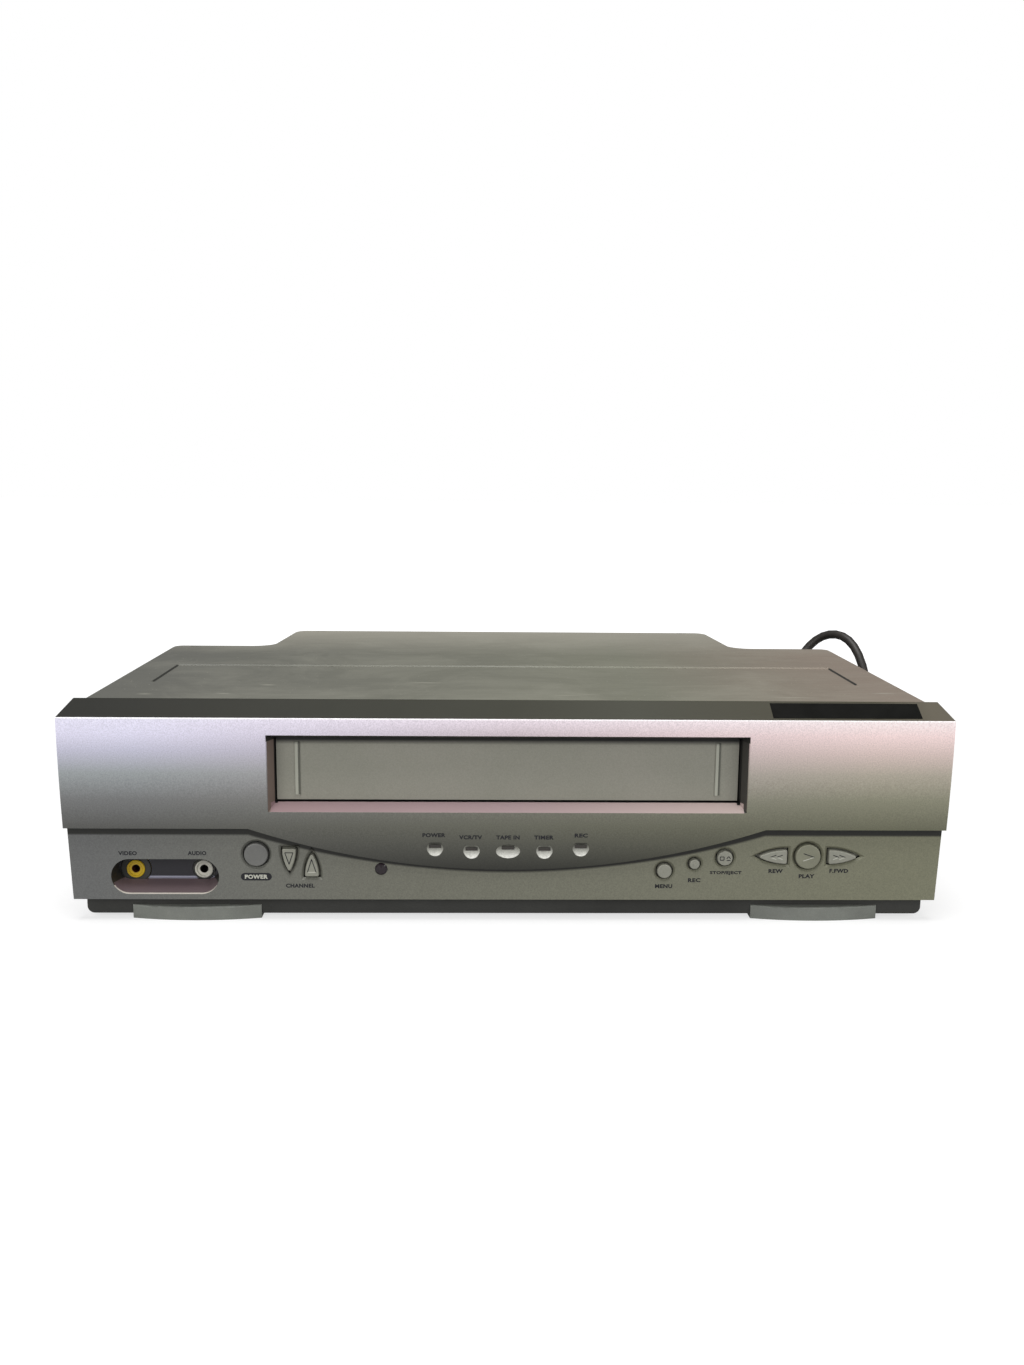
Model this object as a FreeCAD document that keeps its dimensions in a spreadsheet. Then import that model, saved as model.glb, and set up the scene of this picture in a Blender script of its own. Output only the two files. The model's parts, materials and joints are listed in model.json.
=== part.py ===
import FreeCAD
import Part

import math
import os
import types

import Sketcher

# Video cassette recorder: X runs to the viewer's right, Y to the rear, Z up, all in millimetres.
# The origin lies under the middle of the case, on the surface that the feet stand on.

SIZES = {
    # Case, as seen from outside
    "body_width": 360.6,
    "body_depth": 225.0,
    "body_height": 92.4,
    "screw_head_height": 2.0,
    "cover_inset": 7.7,
    "cover_start": 10.6,
    "cover_bottom": 6.6,
    "side_bay_depth": 163.0,
    "neck_width": 244.6,
    "rear_bay_width": 235.4,
    "sheet": 0.8,
    "side_corner": 6.0,
    "neck_corner": 10.0,
    "bay_corner": 8.0,
    "cover_edge_radius": 2.4,
    "cover_lip": 11.0,
    "fit_gap": 0.3,
    "press_panel_width": 310.0,
    "press_panel_start": 49.5,
    "press_panel_end": 99.0,
    "press_panel_depth": 0.6,
    "relief_slot_length": 5.0,
    "relief_slot_width": 1.3,
    "relief_slot_inset": 5.0,
    "side_slot_x": 160.0,
    "bay_slot_x": 103.0,
    "screw_drop": 6.0,
    # Front panel
    "panel_wall": 2.6,
    "panel_bottom": 9.6,
    "bevel_rise": 6.0,
    "shoulder_inset": 4.3,
    "face_radius": 440.0,
    "crown_drop": 14.4,
    "split_height": 40.5,
    "split_inset": 0.5,
    "lower_top_inset": 1.1,
    "lower_bottom_inset": 2.4,
    "lower_setback": 4.2,
    "tongue_half_width": 105.5,
    "tongue_drop": 17.6,
    "panel_rim": 3.4,
    "panel_depth": 14.0,
    "face_edge_radius": 0.6,
    "bevel_label_width": 60.6,
    "label_x": 106.5,
    # Cassette mouth and flap
    "cassette_width": 188.0,
    "cassette_height": 25.0,
    "mouth_width": 189.6,
    "mouth_margin": 9.1,
    "mouth_height": 26.8,
    "mouth_splay": 2.5,
    "sill_drop": 3.1,
    "lintel_rise": 2.2,
    "mouth_depth": 6.6,
    "flap_thickness": 2.2,
    "flap_side_gap": 0.5,
    "flap_sill_gap": 0.8,
    "flap_pin_radius": 1.2,
    "flap_pin_length": 1.6,
    "flap_pin_rise": 1.3,
    "flap_rise": 2.6,
    "pin_clearance": 0.08,
    "flap_rib_x": 85.8,
    "flap_rib_width": 1.9,
    "flap_rib_height": 0.5,
    "flap_rib_margin": 1.9,
    # Buttons
    "button_gap": 0.65,
    "button_stand": 0.9,
    "button_travel": 0.8,
    "well_chamfer": 0.9,
    "flange_width": 1.6,
    "flange_thickness": 1.0,
    "stem_radius": 1.4,
    "cap_edge_radius": 0.5,
    "power_x": -103.0,
    "power_z": 28.8,
    "power_radius": 4.85,
    "menu_x": 64.7,
    "menu_z": 22.1,
    "menu_radius": 3.0,
    "record_x": 77.1,
    "record_z": 25.1,
    "record_radius": 2.1,
    "stop_x": 89.6,
    "stop_z": 27.7,
    "stop_radius": 3.15,
    "play_x": 124.0,
    "play_z": 28.4,
    "play_radius": 5.2,
    "wind_length": 12.2,
    "wind_width": 6.0,
    "rewind_x": 115.3,
    "wind_z": 28.3,
    "forward_x": 132.6,
    "channel_length": 10.0,
    "channel_width": 5.7,
    "channel_down_x": -89.5,
    "channel_down_z": 31.4,
    "channel_up_x": -80.3,
    "channel_up_z": 19.6,
    "switch_size": 6.0,
    "switch_depth": 3.0,
    "plunger_radius": 1.7,
    "plunger_length": 0.8,
    "board": 1.6,
    "board_setback": 10.0,
    # Indicators and remote sensor
    "dimple_width": 7.9,
    "dimple_height": 7.0,
    "dimple_depth": 1.4,
    "slot_width": 5.0,
    "slot_height": 1.5,
    "slot_below_top": 1.8,
    "indicator_pitch": 14.9,
    "indicator_high_top": 34.8,
    "indicator_low_top": 33.7,
    "indicator_oval_width": 9.9,
    "indicator_oval_height": 6.3,
    "indicator_oval_z": 31.0,
    "sensor_x": -52.0,
    "sensor_z": 22.7,
    "sensor_radius": 2.5,
    # Front sockets
    "recess_x": -140.3,
    "recess_z": 19.25,
    "recess_width": 44.0,
    "recess_height": 14.9,
    "recess_inner_width": 42.0,
    "recess_inner_height": 10.4,
    "recess_ramp": 2.1,
    "recess_depth": 8.8,
    "recess_back": 1.6,
    "front_jack_spacing": 28.2,
    "front_jack_z": 19.9,
    "video_cutout_radius": 6.4,
    "audio_cutout_radius": 4.9,
    "jack_radius": 4.15,
    "jack_insert_radius": 3.7,
    "jack_bore_radius": 1.65,
    "jack_sleeve": 8.0,
    "jack_body_size": 10.0,
    "jack_body_depth": 9.0,
    # Chassis
    "strip_overhang": 1.4,
    "strip_bottom": 2.0,
    "strip_setback": 9.0,
    "strip_depth": 7.0,
    "strip_corner": 3.0,
    "chassis_bottom": 3.6,
    "chassis_wall": 2.2,
    "chassis_side_height": 9.6,
    "rear_wall_return": 13.0,
    "vent_width": 2.4,
    "vent_length": 30.0,
    "vent_pitch": 6.0,
    # Feet
    "foot_inner_x": 102.1,
    "foot_width": 53.0,
    "foot_height": 5.8,
    "foot_front": 5.6,
    "foot_bulge": 3.0,
    "foot_depth": 24.0,
    "rear_foot_x": 95.0,
    "rear_foot_radius": 8.0,
    "rear_foot_inset": 16.0,
    # Main board and what stands on it
    "boss_height": 6.4,
    "boss_radius": 3.5,
    "boss_x": 158.0,
    "boss_front_y": 28.0,
    "boss_rear_y": 152.0,
    "inner_boss_x": 118.0,
    "inner_boss_y": 88.0,
    "deck_post_x": 97.0,
    "deck_post_front_y": 40.0,
    "deck_post_middle_y": 156.0,
    "deck_post_rear_inset": 8.0,
    "deck_post_radius": 4.0,
    "main_board_width": 330.0,
    "main_board_front": 22.0,
    "main_board_rear": 158.0,
    "transformer_x": 122.0,
    "transformer_y": 110.0,
    "transformer_width": 34.0,
    "transformer_depth": 30.0,
    "transformer_height": 30.0,
    "capacitor_x": 126.0,
    "capacitor_y": 58.0,
    "capacitor_spacing": 16.0,
    "capacitor_row": 14.0,
    "capacitor_radius": 6.0,
    "capacitor_height": 22.0,
    "heat_sink_height": 34.0,
    "heat_sink_x": 116.0,
    "heat_sink_y": 92.0,
    "heat_sink_width": 40.0,
    "heat_sink_sheet": 2.0,
    "fin_depth": 8.0,
    "fin_pitch": 7.6,
    "tuner_x": -139.0,
    "tuner_width": 22.0,
    "tuner_depth": 42.0,
    "tuner_height": 52.0,
    "aerial_radius": 4.75,
    "aerial_length": 8.6,
    "aerial_collar": 0.85,
    "aerial_low_z": 30.0,
    "aerial_pitch": 21.0,
    "av_x": -160.0,
    "av_width": 15.0,
    "av_pitch": 14.0,
    "av_low_z": 22.0,
    "av_body_depth": 11.0,
    "av_bore_sink": 4.0,
    # Deck frame
    "deck_width": 206.0,
    "deck_front": 28.5,
    "deck_rear_gap": 7.0,
    "deck_underside": 22.0,
    "deck_sheet": 1.5,
    "bracket_sheet": 1.2,
    "bracket_clearance": 7.6,
    "bracket_rear": 152.0,
    "bracket_flange": 4.0,
    # Cassette holder
    "holder_slack": 1.0,
    "holder_sheet": 1.0,
    "holder_front": 37.0,
    "holder_depth": 52.0,
    "holder_ledge": 17.0,
    "holder_drop": 20.0,
    "holder_pin_radius": 1.5,
    "slider_sheet": 1.4,
    "slider_depth": 24.0,
    # Reels and their drive
    "reel_spacing": 92.0,
    "reel_y": 80.5,
    "reel_radius": 26.0,
    "reel_rim": 3.0,
    "reel_hub_radius": 12.0,
    "reel_hub_height": 4.0,
    "spindle_radius": 9.0,
    "spindle_height": 13.0,
    "reel_lift": 0.5,
    "post_radius": 2.0,
    "shaft_clearance": 0.05,
    "clutch_y": 98.5,
    "clutch_pulley_radius": 16.0,
    "clutch_wheel_radius": 6.0,
    "idler_radius": 11.0,
    "idler_thickness": 3.0,
    "tyre_gap": 0.2,
    "belt_height": 1.8,
    "belt_thickness": 1.0,
    "belt_gap": 0.06,
    # Drum; from here on, Y counts forward from the rear face
    "drum_x": -6.0,
    "drum_y": 38.5,
    "drum_radius": 31.0,
    "drum_tilt": 5.5,
    "lower_drum_height": 17.0,
    "upper_drum_height": 13.0,
    "drum_gap": 0.3,
    "drum_shaft_radius": 3.0,
    # Capstan and pinch roller
    "capstan_x": 55.0,
    "capstan_y": 82.5,
    "capstan_radius": 1.5,
    "capstan_top": 47.0,
    "capstan_bearing_radius": 3.2,
    "flywheel_radius": 20.0,
    "flywheel_height": 2.4,
    "capstan_pulley_radius": 12.0,
    "pinch_radius": 6.0,
    "pinch_height": 12.0,
    "pinch_pivot_x": 81.0,
    "pinch_pivot_y": 70.0,
    "pinch_arm_length": 22.0,
    "pinch_rest_angle": 133.0,
    # Tape loading
    "loading_arm_length": 52.0,
    "supply_pivot_x": 3.1,
    "supply_pivot_y": 50.1,
    "supply_rest_angle": 224.4,
    "supply_sweep": 59.6,
    "takeup_pivot_x": -14.4,
    "takeup_pivot_y": 51.5,
    "takeup_rest_angle": 317.7,
    "takeup_sweep": 63.7,
    "guide_slot": 4.4,
    "guide_neck_radius": 1.8,
    "guide_base_radius": 4.6,
    "guide_roller_radius": 3.2,
    "guide_top": 46.0,
    "gear_module": 0.8,
    "gear_thickness": 4.0,
    "gear_backlash": 0.24,
    "gear_slack": 0.15,
    "cam_x": 62.0,
    "cam_y": 28.0,
    "pinion_bearing": -18.0,
    "motor_radius": 10.0,
    "motor_height": 22.0,
    # Heads, posts and the tension arm
    "erase_head_x": -62.0,
    "erase_head_y": 66.0,
    "control_head_x": 47.0,
    "control_head_y": 65.5,
    "supply_post_x": -56.0,
    "supply_post_y": 75.0,
    "takeup_post_x": 41.5,
    "takeup_post_y": 76.0,
    "tension_pivot_x": -86.0,
    "tension_pivot_y": 92.5,
    "tension_arm_length": 27.0,
    "tension_rest_angle": 27.0,
    "tension_post_height": 20.0,
    # Mains lead, whose Y counts from the front plane again
    "cord_width": 4.8,
    "cord_exit_x": 160.0,
    "cord_exit_z": 60.0,
    "relief_length": 24.0,
    "relief_radius": 5.2,
    "coil_x": 166.0,
    "coil_y": 213.0,
    "coil_outer_radius": 37.0,
    "coil_pitch": 5.5,
    "coil_low_z": 2.8,
    "coil_layer_rise": 5.4,
    "plug_length": 34.0,
    "plug_width": 24.0,
    "plug_height": 15.0,
    "blade_length": 16.0,
    "blade_width": 6.4,
    "blade_thickness": 1.5,
    "blade_spacing": 12.7,
}
CAM_TEETH = 48
PINION_TEETH = 12
COIL_TURNS_PER_LAYER = 4

doc = FreeCAD.newDocument("video_cassette_recorder")
Vector = FreeCAD.Vector
Rotation = FreeCAD.Rotation

sheet = doc.addObject("Spreadsheet::Sheet", "Sizes")
for row, (alias, number) in enumerate(SIZES.items(), start=1):
    sheet.set(f"A{row}", alias)
    sheet.set(f"B{row}", str(number))
    sheet.setAlias(f"B{row}", alias)
doc.recompute()


class Size:
    """A length or angle: the expression that a property is bound to, and its present value."""

    def __init__(self, text, value):
        self.text = text
        self.value = value

    def combined(self, sign, other, first=None):
        left, right = (self, other) if first is None else (first, self)
        text = f"({text_of(left)} {sign} {text_of(right)})"
        a, b = value_of(left), value_of(right)
        return Size(text, {"+": a + b, "-": a - b, "*": a * b, "/": a / b if b else 0.0}[sign])

    def __add__(self, other):
        return self.combined("+", other)

    def __radd__(self, other):
        return self.combined("+", self, first=other)

    def __sub__(self, other):
        return self.combined("-", other)

    def __rsub__(self, other):
        return self.combined("-", self, first=other)

    def __mul__(self, other):
        return self.combined("*", other)

    def __rmul__(self, other):
        return self.combined("*", self, first=other)

    def __truediv__(self, other):
        return self.combined("/", other)

    def __neg__(self):
        return self.combined("-", self, first=0)


def text_of(size):
    return size.text if isinstance(size, Size) else repr(float(size))


def value_of(size):
    return size.value if isinstance(size, Size) else float(size)


def cosine(angle):
    return Size(f"cos({angle.text})", math.cos(math.radians(angle.value)))


def sine(angle):
    return Size(f"sin({angle.text})", math.sin(math.radians(angle.value)))


S = types.SimpleNamespace(**{alias: Size(f"Sizes.{alias}", sheet.get(alias)) for alias in SIZES})
NODES = {}

# Turns that lay a feature's own Z axis along another direction
UP = Rotation()
BACKWARD = Rotation(Vector(1, 0, 0), -90)
FORWARD = Rotation(Vector(1, 0, 0), 90)
RIGHTWARD = Rotation(Vector(0, 1, 0), 90)


def fit(thing, name, size):
    """Binds one property of a feature to a size."""
    setattr(thing, name, value_of(size))
    if isinstance(size, Size):
        thing.setExpression(name, size.text)


def place(thing, x, y, z, turn=UP):
    """Puts a feature's own origin at a point, and binds that point to its sizes."""
    thing.Placement = FreeCAD.Placement(Vector(value_of(x), value_of(y), value_of(z)), turn)
    for axis, size in zip("xyz", (x, y, z)):
        if isinstance(size, Size):
            thing.setExpression(f"Placement.Base.{axis}", size.text)
    return thing


def node(label, thing):
    """Names a finished piece."""
    thing.Label = label
    NODES[label] = thing
    return thing


def box(x, y, z, length, width, height):
    """A block from its lowest corner."""
    thing = doc.addObject("Part::Box", "block")
    for name, size in (("Length", length), ("Width", width), ("Height", height)):
        fit(thing, name, size)
    return place(thing, x, y, z)


def slab(width, y, depth, z, height):
    """A block that is as wide to the left of the middle as to the right."""
    return box(-width / 2, y, z, width, depth, height)


def rod(x, y, z, radius, height, turn=UP):
    thing = doc.addObject("Part::Cylinder", "rod")
    fit(thing, "Radius", radius)
    fit(thing, "Height", height)
    return place(thing, x, y, z, turn)


def cone(x, y, z, radius, end_radius, height, turn=UP):
    thing = doc.addObject("Part::Cone", "cone")
    fit(thing, "Radius1", radius)
    fit(thing, "Radius2", end_radius)
    fit(thing, "Height", height)
    return place(thing, x, y, z, turn)


def splay(y, depth, near, far, turn=UP, x=0.0, z=0.0):
    """A block with two different rectangular ends, each (low x, high x, low z, high z)."""
    thing = doc.addObject("Part::Wedge", "splay")
    names = ("Xmin", "Xmax", "Zmin", "Zmax", "X2min", "X2max", "Z2min", "Z2max")
    for name, size in zip(names, near + far):
        fit(thing, name, size)
    thing.Ymin = 0
    fit(thing, "Ymax", depth)
    return place(thing, x, y, z, turn)


def join(*shapes):
    thing = doc.addObject("Part::MultiFuse", "join")
    thing.Shapes = list(shapes)
    thing.Refine = True
    return thing


def common(first, *others):
    """What all the shapes share."""
    for other in others:
        thing = doc.addObject("Part::Common", "common")
        thing.Base = first
        thing.Tool = other
        first = thing
    return first


def cut(base, *tools):
    thing = doc.addObject("Part::Cut", "cut")
    thing.Base = base
    thing.Tool = tools[0] if len(tools) == 1 else join(*tools)
    return thing


def group(*shapes):
    """Separate solids that share one node."""
    thing = doc.addObject("Part::Compound", "group")
    thing.Links = list(shapes)
    return thing


def mirrored(source):
    """The same piece on the other side of the middle."""
    thing = doc.addObject("Part::Mirroring", "mirrored")
    thing.Source = source
    thing.Normal = Vector(1, 0, 0)
    return thing


def made(shape):
    """A piece whose shape is worked out in this file."""
    thing = doc.addObject("Part::Feature", "made")
    thing.Shape = shape
    return thing


def is_near(value, target):
    return abs(value - value_of(target)) < 0.01


def edges_where(thing, chosen):
    """The numbers of the edges whose two ends and middle, as a list of points, pass a test."""
    doc.recompute()
    numbers = []
    for number, edge in enumerate(thing.Shape.Edges, start=1):
        middle = edge.valueAt((edge.FirstParameter + edge.LastParameter) / 2)
        if chosen([vertex.Point for vertex in edge.Vertexes] + [middle]):
            numbers.append(number)
    return numbers


def softened(base, chosen, radius, kind="Part::Fillet"):
    """A fillet, or a chamfer, along the edges that pass a test."""
    numbers = edges_where(base, chosen)
    thing = doc.addObject(kind, "softened")
    thing.Base = base
    thing.Edges = [(number, value_of(radius), value_of(radius)) for number in numbers]
    return thing


def origin_plane(body, role):
    return next(feature for feature in body.Origin.OriginFeatures if feature.Role == role)


def outline(body, plane, corners):
    """A sketch of straight sides; both distances of each corner from the origin are bound."""
    sketch = body.newObject("Sketcher::SketchObject", "outline")
    sketch.AttachmentSupport = [(origin_plane(body, plane), "")]
    sketch.MapMode = "FlatFace"
    points = [Vector(value_of(u), value_of(v), 0) for u, v in corners]
    count = len(points)
    sketch.addGeometry([Part.LineSegment(points[i], points[(i + 1) % count]) for i in range(count)])
    ties = [Sketcher.Constraint("Coincident", i, 2, (i + 1) % count, 1) for i in range(count)]
    sketch.addConstraint(ties)
    for i, corner in enumerate(corners):
        for kind, size, axis in (("DistanceX", corner[0], -2), ("DistanceY", corner[1], -1)):
            if not isinstance(size, Size) and size == 0:
                sketch.addConstraint(Sketcher.Constraint("PointOnObject", i, 1, axis))
                continue
            number = sketch.addConstraint(Sketcher.Constraint(kind, -1, 1, i, 1, value_of(size)))
            if isinstance(size, Size):
                sketch.setExpression(f"Constraints[{number}]", size.text)
    return sketch


def pad(plane, corners, length, backward=False):
    """A body padded from an outline on one of its own planes."""
    body = doc.addObject("PartDesign::Body", "body")
    sketch = outline(body, plane, corners)
    feature = body.newObject("PartDesign::Pad", "pad")
    feature.Profile = sketch
    feature.Reversed = backward
    fit(feature, "Length", length)
    body.Tip = feature
    return body


def turned(corners, x=0.0, y=0.0, z=0.0, turn=UP):
    """A body of revolution: corners are (radius, height) about its own Z axis."""
    body = doc.addObject("PartDesign::Body", "body")
    sketch = outline(body, "XZ_Plane", corners)
    feature = body.newObject("PartDesign::Revolution", "revolution")
    feature.Profile = sketch
    feature.ReferenceAxis = (sketch, ["V_Axis"])
    feature.Angle = 360
    body.Tip = feature
    return place(body, x, y, z, turn)


# Planes and levels that several pieces share
FRONT = -(S.body_depth + S.screw_head_height) / 2
COVER_START = FRONT + S.cover_start
SIDE_REAR = FRONT + S.side_bay_depth
REAR = FRONT + S.body_depth
LOWER_FACE = FRONT + S.lower_setback
LOWER_INSIDE = LOWER_FACE + S.panel_wall
COVER_WIDTH = S.body_width - S.cover_inset * 2
COVER_UNDERSIDE = S.body_height - S.sheet
FACE_TOP = S.body_height - S.bevel_rise
CROWN_HEIGHT = FACE_TOP - S.crown_drop
MOUTH_TOP = FACE_TOP - S.mouth_margin
MOUTH_BOTTOM = MOUTH_TOP - S.mouth_height
BRACKET_TOP = COVER_UNDERSIDE - S.bracket_clearance
FLOOR_TOP = S.chassis_bottom + S.chassis_wall
BOARD_UNDERSIDE = FLOOR_TOP + S.boss_height
BOARD_TOP = BOARD_UNDERSIDE + S.board
DECK_TOP = S.deck_underside + S.deck_sheet
WALL_INSET = S.sheet + S.fit_gap
ACROSS = 2000.0


def case_block(inset, bottom, top):
    """The case in plan, drawn in by an inset: two side bays and a deeper bay in the middle."""
    side = COVER_WIDTH / 2 - inset
    side_rear = S.side_bay_depth - inset
    neck = S.neck_width / 2 - inset
    bay = S.rear_bay_width / 2 - inset
    rear = S.body_depth - inset
    right = [(side, S.cover_start), (side, side_rear), (neck, side_rear), (bay, rear)]
    left = [(-x, y) for x, y in reversed(right)]
    body = pad("XY_Plane", right + left, top - bottom)
    place(body, 0, FRONT, bottom)
    doc.recompute()
    rounds = (
        (value_of(side), value_of(side_rear), S.side_corner - inset),
        (value_of(neck), value_of(side_rear), S.neck_corner + inset),
        (value_of(bay), value_of(rear), S.bay_corner - inset),
    )
    for x, y, radius in rounds:
        base = body.Tip
        names = []
        for number, edge in enumerate(base.Shape.Edges, start=1):
            ends = [vertex.Point for vertex in edge.Vertexes]
            upright = abs(ends[0].z - ends[-1].z) > 1
            if upright and abs(abs(ends[0].x) - x) < 0.01 and abs(ends[0].y - y) < 0.01:
                names.append(f"Edge{number}")
        feature = body.newObject("PartDesign::Fillet", "corner")
        feature.Base = (base, names)
        fit(feature, "Radius", radius)
        body.Tip = feature
        doc.recompute()
    return body


def make_top_cover():
    """Sheet steel: a top with a shallow pressed panel, two side walls and a lip round the rear."""
    outer = case_block(0.0, S.cover_bottom, S.body_height)

    def is_rim(points):
        on_top = all(is_near(point.z, S.body_height) for point in points)
        return on_top and not all(is_near(point.y, COVER_START) for point in points)

    rounded = softened(outer, is_rim, S.cover_edge_radius)
    inner = case_block(S.sheet, S.cover_bottom - 1, COVER_UNDERSIDE)
    inside_width = COVER_WIDTH - S.sheet * 2
    mouth = slab(inside_width, COVER_START - 1, S.side_bay_depth / 2,
                 S.cover_bottom - 1, COVER_UNDERSIDE - S.cover_bottom + 1)
    below_lip = slab(inside_width, FRONT + S.side_bay_depth / 2, S.body_depth,
                     S.cover_bottom - 1, S.body_height - S.cover_lip - S.cover_bottom + 1)
    half = S.press_panel_width / 2
    depth = S.press_panel_end - S.press_panel_start
    drop = S.press_panel_depth
    backing = slab(S.press_panel_width, FRONT + S.press_panel_start, depth,
                   COVER_UNDERSIDE - drop, drop + S.sheet / 2)
    low = (-half + drop, half - drop, drop, depth - drop)
    high = (-half, half, 0.0, depth)
    pressed = splay(FRONT + S.press_panel_end, drop, low, high, turn=FORWARD, z=S.body_height - drop)
    slots = []
    for x, rear in ((S.side_slot_x, SIDE_REAR), (S.bay_slot_x, REAR)):
        for side in (-1, 1):
            slots.append(box(x * side - S.relief_slot_length / 2, rear - S.relief_slot_inset,
                             COVER_UNDERSIDE - 1, S.relief_slot_length, S.relief_slot_width, S.sheet + 2))
    shell = cut(rounded, inner, mouth, below_lip)
    node("top_cover", cut(join(shell, backing), pressed, *slots, *screw_holes()))


def make_cover_screws():
    """Pan-head screws whose heads seat on the cover's lip."""
    head = S.screw_head_height
    shank = head * 3.5
    corners = [(0, 0), (head * 0.7, 0), (head * 0.7, shank), (head * 1.8, shank),
               (head * 1.6, shank + head), (0, shank + head)]
    level = S.body_height - S.screw_drop
    node("cover_screws", group(*[turned(corners, x, rear - shank, level, BACKWARD)
                                 for x, rear in screw_positions()]))


BEVEL_SETBACK = (FACE_TOP - CROWN_HEIGHT) * (FACE_TOP - CROWN_HEIGHT) / (S.face_radius * 2)
TONGUE_RADIUS = ((S.tongue_half_width * S.tongue_half_width + S.tongue_drop * S.tongue_drop)
                 / (S.tongue_drop * 2))
TONGUE_BOTTOM = S.split_height - S.tongue_drop
RIM_HALF = COVER_WIDTH / 2 - WALL_INSET
BOARD_FRONT = LOWER_INSIDE + S.board_setback
FLANGE_Y = LOWER_INSIDE + S.fit_gap
STEM_START = FLANGE_Y + S.flange_thickness
STEM_END = BOARD_FRONT - S.switch_depth - S.plunger_length - S.button_travel - 0.1
ROUND_BUTTONS = {
    "power_button": (S.power_x, S.power_z, S.power_radius),
    "menu_button": (S.menu_x, S.menu_z, S.menu_radius),
    "record_button": (S.record_x, S.record_z, S.record_radius),
    "stop_eject_button": (S.stop_x, S.stop_z, S.stop_radius),
    "play_button": (S.play_x, S.play_z, S.play_radius),
}
# Flat end's middle, length, width, and the way that the point faces in x and z
POINTED_BUTTONS = {
    "rewind_button": (S.rewind_x, S.wind_z, S.wind_length, S.wind_width, -1, 0),
    "fast_forward_button": (S.forward_x, S.wind_z, S.wind_length, S.wind_width, 1, 0),
    "channel_down_button": (S.channel_down_x, S.channel_down_z, S.channel_length, S.channel_width, 0, -1),
    "channel_up_button": (S.channel_up_x, S.channel_up_z, S.channel_length, S.channel_width, 0, 1),
}


def pointed(x, z, length, width, aim_x, aim_z, y, depth, growth=0.0, flare=0.0):
    """A leaf with one flat end: two arcs that leave the flat end square and meet in a point.

    It can be grown all round by a distance, and flared further towards the viewer.
    """
    half = width / 2
    radius = (length * length + half * half) / width
    shift = radius - half
    arcs = [cone(x + shift * sign * aim_z, y, z + shift * sign * aim_x, radius + growth + flare,
                 radius + growth, depth, BACKWARD) for sign in (-1, 1)]
    ends = []
    for reach in (growth + flare, growth):
        side = half + reach
        along = sorted((-reach, length * 1.5), key=value_of)
        if aim_x + aim_z < 0:
            along = [-along[1], -along[0]]
        if aim_x:
            ends.append((x + along[0], x + along[1], z - side, z + side))
        else:
            ends.append((x - side, x + side, z + along[0], z + along[1]))
    block = splay(y, depth, ends[0], ends[1])
    return common(arcs[0], arcs[1], block)


def button_middle(x, z, length, aim_x, aim_z):
    """Where the stem stands behind a pointed button."""
    return x + length * 0.4 * aim_x, z + length * 0.4 * aim_z


def make_dimples():
    """Five scooped indicator dimples: four pointed down, and an oval in the middle."""
    scoops = []
    slots = []
    for place_number in (-2, -1, 0, 1, 2):
        x = S.indicator_pitch * place_number
        if place_number == 0:
            scoop = doc.addObject("Part::Ellipsoid", "scoop")
            fit(scoop, "Radius1", S.indicator_oval_height / 2)
            fit(scoop, "Radius2", S.indicator_oval_width / 2)
            fit(scoop, "Radius3", S.dimple_depth)
            top = S.indicator_oval_z + S.indicator_oval_height / 2
            scoops.append(place(scoop, x, face_y(S.indicator_oval_z), S.indicator_oval_z))
        else:
            top = S.indicator_high_top if abs(place_number) == 2 else S.indicator_low_top
            middle = top - S.dimple_height * 0.42
            leaf = pointed(x, top, S.dimple_height, S.dimple_width, 0, -1, FRONT, S.dimple_depth * 3)
            ball = doc.addObject("Part::Sphere", "ball")
            half = S.dimple_height / 2
            radius = (half * half + S.dimple_depth * S.dimple_depth) / (S.dimple_depth * 2)
            fit(ball, "Radius", radius)
            place(ball, x, face_y(middle) - radius + S.dimple_depth, middle)
            scoops.append(common(leaf, ball))
        slots.append((x, top - S.slot_below_top))
    return scoops, slots


def face_y(height):
    """How far back the crowned face lies at a height."""
    rise = height - CROWN_HEIGHT
    return FRONT + rise * rise / (S.face_radius * 2)


def slot_block(x, z, y, depth, slack):
    return box(x - S.slot_width / 2 + slack, y, z - S.slot_height / 2 + slack,
               S.slot_width - slack * 2, depth, S.slot_height - slack * 2)


def rounded_slot(width, height, x, z, y):
    """The wire of a pill shape that stands upright at a depth."""
    radius = height / 2
    reach = width / 2 - radius
    corners = [Vector(x - reach, y, z + radius), Vector(x + reach, y, z + radius),
               Vector(x + reach, y, z - radius), Vector(x - reach, y, z - radius)]
    right = Part.Arc(corners[1], Vector(x + reach + radius, y, z), corners[2])
    left = Part.Arc(corners[3], Vector(x - reach - radius, y, z), corners[0])
    edges = [Part.LineSegment(corners[0], corners[1]), right, Part.LineSegment(corners[2], corners[3]), left]
    return Part.Wire([edge.toShape() for edge in edges])


def make_recess_space():
    """The socket recess: a pill-shaped mouth that narrows inward over a rising floor."""
    mouth = value_of(LOWER_FACE) - 0.01
    mouth_wire = rounded_slot(S.recess_width.value, S.recess_height.value,
                              S.recess_x.value, S.recess_z.value, mouth)
    inner_z = value_of(S.recess_z + S.recess_ramp)
    inner_wire = rounded_slot(S.recess_inner_width.value, S.recess_inner_height.value,
                              S.recess_x.value, inner_z, value_of(LOWER_FACE + S.recess_depth))
    return made(Part.makeLoft([mouth_wire, inner_wire], True, True))


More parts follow.
